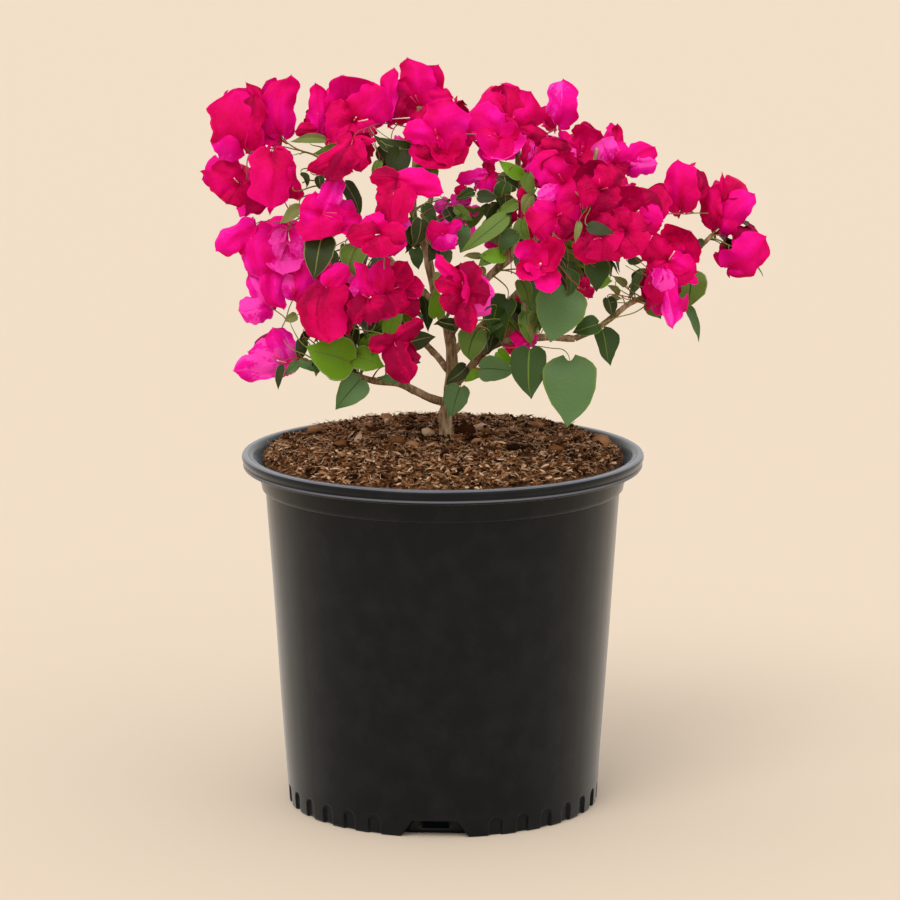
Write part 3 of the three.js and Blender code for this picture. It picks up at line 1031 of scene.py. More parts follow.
@dataclass
class BarkMix:
    """The crowned bed of bark mix with its loose chips and fibres.

    Attributes:
        radii: Radii at which the bed's height is stated.
        heights: The bed's height at each.
        foot: Height of the bed's underside.
        chips: Number of chips.
        big_chips: Number of large chips among them.
        fibres: Number of fibres.
        piece_rise: How far the middle of a listed large piece stands above the bed.
        shade_and_patch_from: Unevenness above which the darker mix is dealt: painted shade near the trunk,
            dark patches elsewhere.
        seed: Picks their places and shapes.
    """

    radii: tuple[float, ...] = (0, 14, 60, 90, 115, 127.8)
    heights: tuple[float, ...] = (258.6, 258.6, 258.4, 256.4, 251.2, 244.6)
    foot: float = 205.0
    chips: int = 7800
    fibres: int = 5200
    big_chips: int = 44
    piece_rise: float = 2.4
    shade_and_patch_from: float = 0.8
    seed: int = 11

    def level(self, radius: Vec) -> Vec:
        """Height of the bed at a radius."""
        return np.interp(radius, self.radii, self.heights)

    def lumps(self, points: np.ndarray) -> np.ndarray:
        """Height of the bed's lumps and pits at some places.

        Args:
            points: The places, one a row.

        Returns:
            The height at each.
        """
        coarse = Ripple(21, 26).at(points) * 1.1 + Ripple(22, 9).at(points) * 1.3
        fade = 1 - smooth_step(np.linalg.norm(points[:, :2], axis=1), 116, 126)
        return (coarse + Ripple(23, 3.2).at(points) * 0.5) * fade - 0.4

    def bed(self) -> Object:
        """The bed itself: a lumpy crown over a plain foot.

        Returns:
            The bed.
        """
        rings = np.concatenate([[1.2], np.linspace(3, 121.5, 76), [124.2, 126.0]])
        turn = np.linspace(0, math.tau, 400, endpoint=False)
        radius, angle = np.meshgrid(rings, turn, indexing="ij")
        points = circle(radius, angle, self.level(radius)).reshape(-1, 3)
        points[:, 2] += self.lumps(points)
        edges = ((122.6, 226), (120.4, 218), (119.6, self.foot), (60, self.foot), (1.2, self.foot))
        rows = len(rings) + len(edges)
        middle = [[0, 0, self.level(0) - 0.4], [0, 0, self.foot]]
        points = np.vstack([points, *[circle(edge, turn, height) for edge, height in edges], middle])
        count = len(turn)
        top = fan(0, count, len(points) - 2)
        bottom = flipped(fan((rows - 1) * count, count, len(points) - 1))
        stock = Stock("bark_mix_bed", [BedPeat().make()])
        stock.add(points, [grid_faces(rows, count, True)[:, ::-1], top, bottom])
        return stock.join()

    def chip(self, rng: Rng) -> tuple[np.ndarray, list[np.ndarray]]:
        """One flake of bark: a bent, uneven block, in its own frame.

        Args:
            rng: Picks its shape.

        Returns:
            Points and blocks of faces.
        """
        length = 0.9 + 3.2 * rng.random() ** 2.4
        width = length * rng.uniform(0.35, 0.8)
        thick = rng.uniform(0.5, 1.5)
        along = np.array([-1.0, 0.0, 1.0])
        ring = np.array([[-1, -1], [1, -1], [1, 1], [-1, 1]]) * [width, thick] * 0.5
        taper = np.array([rng.uniform(0.4, 0.9), 1.0, rng.uniform(0.3, 0.8)])
        points = np.vstack([
            np.column_stack([np.full(4, step * length), ring * share])
            for step, share in zip(along, taper, strict=True)
        ])
        points[:, 2] -= 0.1 * points[:, 0] ** 2 / length
        points += rng.normal(scale=0.09 * length, size=points.shape) * [1, 1, 0.5]
        ends = np.array([[3, 2, 1, 0], [8, 9, 10, 11]])
        return points, [grid_faces(3, 4, True), ends]

    def fibre(self, rng: Rng) -> tuple[np.ndarray, list[np.ndarray]]:
        """One loose fibre: a thin, bent stem, in its own frame.

        Args:
            rng: Picks its shape.

        Returns:
            Points and blocks of faces.
        """
        size = rng.uniform(2.5, 7)
        bend = rng.normal(scale=0.9, size=(4, 3)) * [1, 1, 0.7]
        line = np.linspace(-size / 2, size / 2, 4)[:, None] * [1, 0, 0] + bend
        return stem(line, np.array([0.12, 0.24, 0.2, 0.1]), 3)

    def lay_pieces(self, chips: Stock) -> None:
        """Lays the large pieces of bark, each leaning back so that its broad side shows from the front.

        Args:
            chips: Stock that takes them.
        """
        rng = np.random.default_rng(5)
        for piece in BARK_PIECES:
            points, faces = self.chip(rng)
            points = points * [1, 1.8, 1] * (piece.length / 2 / float(np.abs(points[:, 0]).max()))
            lean, yaw = math.radians(rng.uniform(35, 60)), math.radians(piece.turn)
            level = float(self.level(math.hypot(piece.across, piece.back)))
            place = np.array([piece.across, piece.back, level])
            place[2] += float(self.lumps(place[None, :])[0]) + self.piece_rise
            chips.add(points @ (turning(yaw, 2) @ turning(lean, 0)).T + place, faces, number_of(piece.tint))

    def strew(self) -> list[Object]:
        """The loose chips and the loose fibres, each kind joined and dealt out by tint.

        Returns:
            The chips in one piece and the fibres in another.
        """
        rng = np.random.default_rng(self.seed)
        chips = Stock("bark_mix_chips", materials(Chip))
        fibres = Stock("bark_mix_fibres", materials(Chip))
        total = self.chips + self.fibres
        radius = 123.5 * np.sqrt(rng.random(total))
        turn = rng.uniform(0, math.tau, total)
        places = circle(radius, turn, self.level(radius))
        places[: self.big_chips, :2] *= 0.55
        places[: self.big_chips, 2] = self.level(radius[: self.big_chips] * 0.55)
        places[:, 2] += self.lumps(places) + rng.uniform(-0.3, 1.1, total)
        places[: self.big_chips, 2] += 1.2
        stem_gap = np.hypot(places[:, 0] - 3, places[:, 1])
        # Painted shade: the darker mix is dealt close round the trunk, under the crown; random dark patches
        # elsewhere.
        shade_and_patch = Ripple(24, 15).at(places) + 1.3 * np.exp(-((stem_gap / 26) ** 2)) > self.shade_and_patch_from
        for number, place in enumerate(places):
            yaw = rng.uniform(0, math.tau)
            tilt = rng.normal(scale=0.35)
            if number < self.chips:
                points, faces = self.chip(rng)
                points = points * (rng.uniform(1.8, 2.8) if number < self.big_chips else 1)
                stock, shares = chips, SHADE_AND_PATCH_CHIPS if shade_and_patch[number] else PLAIN_CHIPS
            else:
                points, faces = self.fibre(rng)
                place[2] += 0.7
                stock, shares = fibres, SHADE_AND_PATCH_FIBRES if shade_and_patch[number] else PLAIN_FIBRES
            moved = points @ (turning(yaw, 2) @ turning(tilt, 1)).T + place
            stock.add(moved, faces, number_of(pick(rng, shares)))
        self.lay_pieces(chips)
        return [chips.join(), fibres.join()]

    def build(self) -> None:
        """Builds the bed, its chips and its fibres, which stand for the CAD soil together."""
        for piece in [self.bed(), *self.strew()]:
            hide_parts("soil")


# --- Limbs ---


@dataclass(frozen=True)
class Route:
    """A limb of the frame: its node, its radius at both ends and the places it passes through."""

    node: str
    foot: float
    tip: float
    stations: tuple[Place, ...]


ROUTES = (
    Route("trunk", 4.9, 3.7, (
        (3, 0, 248), (3, 0, 259.3), (2, 0, 274), (4.5, 0, 290), (6.5, -1, 312), (4, -2, 336))),
    Route("bough_left_low", 3, 1.7, (
        (3.5, 0, 282), (-9, -4, 287), (-27, -12, 296), (-45, -24, 302), (-72, -46, 314))),
    Route("bough_right_low", 3, 2.2, (
        (5, 0, 292), (14, -4, 302), (28, -9, 320), (46, -14, 328), (70, -18, 332), (91, -20, 331))),
    Route("bough_right_rising", 2.2, 1.4, (
        (91, -20, 331), (109, -20, 339), (128, -18, 354), (150, -14, 366), (186, 2, 400))),
    Route("leader_right", 2.9, 1.8, (
        (4, -2, 334), (16, -6, 350), (29, -10, 370), (42, -12, 384), (54, -15, 408), (50, -17, 480))),
    Route("leader_left", 2.8, 1.7, (
        (4, -2, 333), (-4, -4, 352), (-10, -2, 385), (-20, -6, 420), (-16, -8, 490))),
    Route("bough_left_high", 2.3, 1.5, (
        (-4, -4, 352), (-26, -2, 374), (-56, -6, 404), (-78, -10, 436), (-74, -14, 480))),
    Route("bough_front", 2.2, 1.5, ((5, -2, 326), (8, -26, 340), (12, -58, 352), (14, -100, 366))),
    Route("bough_right_high", 2.1, 1.5, (
        (29, -10, 370), (48, 0, 384), (70, 2, 402), (96, -8, 430), (106, -12, 462))),
    Route("bough_back", 2.3, 1.5, (
        (-5, -4, 356), (-8, 18, 374), (-12, 46, 392), (-8, 80, 416), (-4, 112, 440))),
    Route("bough_back_left", 2.5, 1.5, (
        (5, -1, 304), (-10, 18, 318), (-34, 44, 334), (-64, 66, 346), (-100, 82, 362))),
    Route("bough_back_right", 2.5, 1.5, (
        (6, -1, 316), (22, 20, 330), (46, 46, 346), (74, 70, 364), (104, 88, 388))),
)


class Wood:
    """All the wood grown so far, as points that new shoots can leave from."""

    def __init__(self) -> None:
        """Starts with no wood."""
        self.places = np.zeros((0, 3))
        self.leads = np.zeros((0, 3))
        self.radii = np.zeros(0)

    def learn(self, path: np.ndarray, radii: Vec, skip: float = 0.0) -> None:
        """Adds a limb or twig, apart from a share of it next to its foot.

        Args:
            path: Points of its middle line.
            radii: Its radius at each.
            skip: The share that is left out.
        """
        first = int(len(path) * skip)
        leads = each_unit(np.gradient(path, axis=0))
        self.places = np.vstack([self.places, path[first:]])
        self.leads = np.vstack([self.leads, leads[first:]])
        self.radii = np.concatenate([self.radii, radii[first:]])

    def costs(self, target: Vec) -> Vec:
        """How unwilling each point of the wood is to send a shoot to a target.

        Args:
            target: The place that a shoot ends at.

        Returns:
            The cost at each point, about the length of the shoot.
        """
        gap = target - self.places
        distance = np.linalg.norm(gap, axis=1)
        forward = (gap * self.leads).sum(axis=1) / np.maximum(distance, 1e-6)
        too_short = np.where(distance < 9, 40.0, 0.0)
        return distance * (1 + 0.45 * (1 - forward)) + too_short + 0.25 * np.maximum(0, -gap[:, 2])

    def nearest(self, target: Vec) -> int:
        """The point of the wood that most readily sends a shoot to a target."""
        return int(np.argmin(self.costs(target)))


@dataclass
class Limbs:
    """The trunk, its leaders and its boughs, in one mesh with the bark's relief.

    Attributes:
        spacing: Distance between rings.
        sides: Points round a limb.
        flare: Growth of the trunk's radius at the soil, as a share.
        furrow: Depth of the lengthwise furrows, as a share of the radius.
        knot_every: Distance between leaf scars.
    """

    spacing: float = 1.6
    sides: int = 22
    flare: float = 0.14
    furrow: float = 0.075
    knot_every: float = 17.0

    def relief(self, route: Route, path: np.ndarray, radii: Vec, turn: Vec, seed: int) -> np.ndarray:
        """The limb's radius all over: furrows, leaf scars and swellings.

        Args:
            route: The limb.
            path: Points of its middle line.
            radii: Its plain radius at each.
            turn: Turns of the points round it, in radians.
            seed: Picks its unevenness.

        Returns:
            The radius at every point, a ring a row.
        """
        along = np.concatenate([[0], np.cumsum(np.linalg.norm(np.diff(path, axis=0), axis=1))])
        rng = np.random.default_rng(seed)
        far, about = np.meshgrid(along, turn, indexing="ij")
        result = np.repeat(radii[:, None], len(turn), axis=1)
        drift = rng.uniform(0, math.tau, 6)
        twist = 0.035 * np.sin(far / 23 + drift[0]) * far / 10
        for waves, share, phase in ((3, 0.6, drift[1]), (5, 0.8, drift[2]), (8, 0.55, drift[3])):
            wander = 1.1 * np.sin(far / (7 + waves) + drift[4])
            result *= 1 + self.furrow * share * np.sin(waves * (about + twist) + phase + wander)
        result *= 1 + 0.035 * np.sin(far / 3.1 + 2 * np.sin(about) + drift[5])
        scars = np.arange(rng.uniform(5, self.knot_every), along[-1], self.knot_every)
        for scar in scars:
            side = rng.uniform(0, math.tau)
            near = np.exp(-(((far - scar) / 1.9) ** 2))
            facing = np.exp(2.2 * (np.cos(about - side) - 1))
            result += near * (0.1 + 0.42 * facing) * min(1.0, radii[0] / 3)
        if route.node == "trunk":
            low = np.exp(-(((far - 8) / 9) ** 2)) * (far > 8) + (far <= 8)
            root = 1 + 0.3 * np.sin(5 * about + drift[1])
            result *= 1 + self.flare * low * root
        return result

    def build(self, wood: Wood) -> Object:
        """Builds every limb, teaches the wood where they run and dresses the mesh.

        Args:
            wood: The wood that learns.

        Returns:
            The piece.
        """
        stock = Stock("limb_bark", [BarkSkin().make()])
        for number, route in enumerate(ROUTES):
            path = through(np.array(route.stations, float), self.spacing)
            sway = np.stack([Ripple(70 + number + k * 20, 46).at(path) for k in range(3)], axis=1)
            ends = np.sin(np.linspace(0, math.pi, len(path)))[:, None]
            path = path + sway * ends * 0.8
            radii = np.linspace(route.foot, route.tip, len(path)) * 0.98
            turn = np.arange(self.sides) * math.tau / self.sides
            points, faces = stem(path, np.ones(len(path)), self.sides)
            bark = self.relief(route, path, radii, turn, 40 + number)
            body = points[: len(path) * self.sides].reshape(len(path), self.sides, 3)
            body = path[:, None, :] + (body - path[:, None, :]) * bark[:, :, None]
            points[: len(path) * self.sides] = body.reshape(-1, 3)
            stock.add(points, faces)
            wood.learn(path, radii, 0.55 if route.node == "trunk" else 0.3)
        piece = stock.join()
        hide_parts(*[route.node for route in ROUTES])
        return piece


# --- Bracts and leaves, as sheets ---


@dataclass(frozen=True)
class Cut:
    """The outline of a thin blade: shares of its half width at shares of its length.

    Attributes:
        along: Shares of the length.
        half: Share of the half width at each.
        lobe: Depth of the heart-shaped base, as a share of the width.
        across: Shares of the half width at which the blade has columns of points.
        rows: Points along the blade.
    """

    along: tuple[float, ...]
    half: tuple[float, ...]
    lobe: float
    across: tuple[float, ...]
    rows: int

    def stations(self) -> np.ndarray:
        """Shares of the length at which the blade has rows of points, closer near both ends."""
        even = np.linspace(0, 1, self.rows)
        return 0.45 * even + 0.275 * (1 - np.cos(math.pi * even))

    def centres(self) -> tuple[np.ndarray, np.ndarray]:
        """Shares along and across at the middles of the faces, row by row.

        Returns:
            The shares along, and the shares across.
        """
        along, across = self.stations(), np.array(self.across)
        grid = np.meshgrid((along[1:] + along[:-1]) / 2, (across[1:] + across[:-1]) / 2, indexing="ij")
        return grid[0].ravel(), grid[1].ravel()


BRACT_CUT = Cut(
    (0, .03, .08, .16, .28, .42, .56, .7, .8, .87, .92, .95, .975, 1),
    (.4, .66, .85, .97, 1, 1, .99, .95, .88, .76, .57, .32, .1, .02),
    .14, (-1, -.92, -.76, -.6, -.44, -.28, -.14, -.04, .04, .14, .28, .44, .6, .76, .92, 1), 21,
)
LEAF_CUT = Cut(
    (0, .03, .08, .16, .28, .42, .56, .7, .81, .89, .95, 1),
    (.22, .55, .8, .95, 1, .96, .83, .62, .4, .22, .1, .02),
    .12, (-1, -.93, -.64, -.33, -.045, .045, .33, .64, .93, 1), 14,
)


@dataclass(frozen=True)
class Sheet:
    """A thin blade between two places.

    Attributes:
        foot: The place where it leaves its stalk.
        tip: The place of its tip.
        faces: The way that its upper side faces, roughly.
        width: Its width.
        bulge: How far its middle stands out towards the way it faces, or in if negative.
        cup: How far its sides curve back, or forward if negative, as a share of its half width.
        ripple: Height of its wavy margin, as a share of its length.
    """

    foot: Vec
    tip: Vec
    faces: Vec
    width: float
    bulge: float
    cup: float
    ripple: float

    def points(self, cut: Cut, rng: Rng) -> np.ndarray:
        """The points of the blade, row by row.

        Args:
            cut: Its outline.
            rng: Picks its unevenness.

        Returns:
            Points, one a row of the result.
        """
        length = float(np.linalg.norm(self.tip - self.foot))
        ahead = (self.tip - self.foot) / length
        normal = unit(self.faces - ahead * float(self.faces @ ahead))
        side = np.cross(normal, ahead)
        share = cut.stations()
        s, t = np.meshgrid(share, np.array(cut.across), indexing="ij")
        phase = rng.uniform(0, math.tau, 8)
        loose = min(1.0, self.ripple / 0.05)
        blunt = rng.uniform(0.8, 1.35) if loose == 1.0 else 1.0
        half = self.width / 2 * np.interp(share, cut.along, cut.half)[:, None] ** blunt
        edge = np.sin(math.tau * 1.7 * s + np.where(t < 0, phase[0], phase[1]))
        edge += 0.7 * np.sin(math.tau * 3.9 * s + np.where(t < 0, phase[6], phase[7]))
        lopsided = rng.normal(scale=0.07) * loose
        lateral = half * t * (1 + 0.08 * loose * edge + lopsided * np.sign(t))
        belly = np.sin(math.pi * s**0.85)
        height = self.bulge * belly - self.cup * (lateral**2) * 2 / self.width
        waves = rng.uniform(1.4, 2.6)
        beat = np.sin(math.tau * waves * s + np.where(t < 0, phase[2], phase[3]))
        height += self.ripple * length * np.abs(t) ** 2 * beat * (0.3 + 0.7 * belly)
        crumple = np.sin(6.1 * s + 4.3 * t + phase[4]) + np.abs(np.sin(4.9 * s - 3.4 * t + phase[5]))
        height += 0.28 * self.ripple * length * crumple * belly
        for _ in range(2 if loose == 1.0 else 0):
            fold = rng.uniform(-0.75, 0.75) + rng.normal(scale=0.3) * (s - 0.5)
            depth = rng.uniform(0.03, 0.09) * self.width
            height -= depth * np.exp(-np.abs(t - fold) / 0.13) * belly
        vein = np.cos(math.tau * 4.6 * (s - 0.34 * np.abs(t)))
        height += 0.13 * vein * np.sin(math.pi * np.abs(t)) * belly
        height -= 0.35 * np.exp(-((lateral / 0.8) ** 2)) * (1 - s)
        end = smooth_step(s, 0.78, 1.0)
        height += rng.normal(scale=0.06) * length * end * (0.4 + loose)
        bend = rng.normal(scale=0.05) * length * belly + rng.normal(scale=0.07) * length * end
        along = length * s - cut.lobe * self.width * np.abs(t) ** 1.7 * (1 - s) ** 3
        along += 0.02 * length * loose * np.sin(5 * t + phase[4]) * end
        return (
            self.foot + along.reshape(-1, 1) * ahead + (lateral + bend).reshape(-1, 1) * side
            + height.reshape(-1, 1) * normal
        )

    def lay(self, stock: Stock, cut: Cut, dealt: np.ndarray, rng: Rng) -> None:
        """Adds the blade to a stock.

        Args:
            stock: Stock that takes it.
            cut: Its outline.
            dealt: Numbers of the finishes of its faces, row by row.
            rng: Picks its unevenness.
        """
        s, t = np.meshgrid(np.linspace(0, 1, cut.rows), np.array(cut.across), indexing="ij")
        chart = np.stack([(t + 1) / 2, s], axis=-1).reshape(-1, 2)
        stock.add(self.points(cut, rng), [grid_faces(cut.rows, len(cut.across))], dealt, chart)


# --- Flower heads ---


@dataclass(frozen=True)
class Lobe:
    """A listed bract: its tip from the head's foot, as the front of the crown is seen.

    Attributes:
        across: Distance to the right.
        forward: Distance towards the front.
        up: Distance upward.
        width: Its width.
        bulge: How far its middle stands out to the front, or in if negative.
        tint: Its tint.
    """

    across: float
    forward: float
    up: float
    width: float
    bulge: float
    tint: Petal


@dataclass(frozen=True)
class Head:
    """A listed head: its foot from the middle of a mass, and its bracts."""

    at: Place
    lobes: tuple[Lobe, ...]


def bloom(at: Place, *rows: tuple[float | Petal, ...]) -> Head:
    """A head from its foot and a row for every bract, in the order of Lobe."""
    return Head(at, tuple(Lobe(*row) for row in rows))


@dataclass(frozen=True)
class Lie:
    """How the three bracts of a seeded head stand.

    Attributes:
        opening: Degrees between the head's axis and a bract.
        breadth: Width of a bract as a share of its length.
        swell: Bulge of a bract as a share of its length.
    """

    opening: float
    breadth: float
    swell: float


class Habit(Enum):
    """The ways in which a seeded head can stand open."""

    LANTERN = Lie(13, 0.95, 0.24)
    BELL = Lie(26, 0.95, 0.19)
    TRUMPET = Lie(42, 0.96, 0.13)
    STAR = Lie(62, 0.92, 0.07)
    PLUME = Lie(14, 0.68, 0.15)


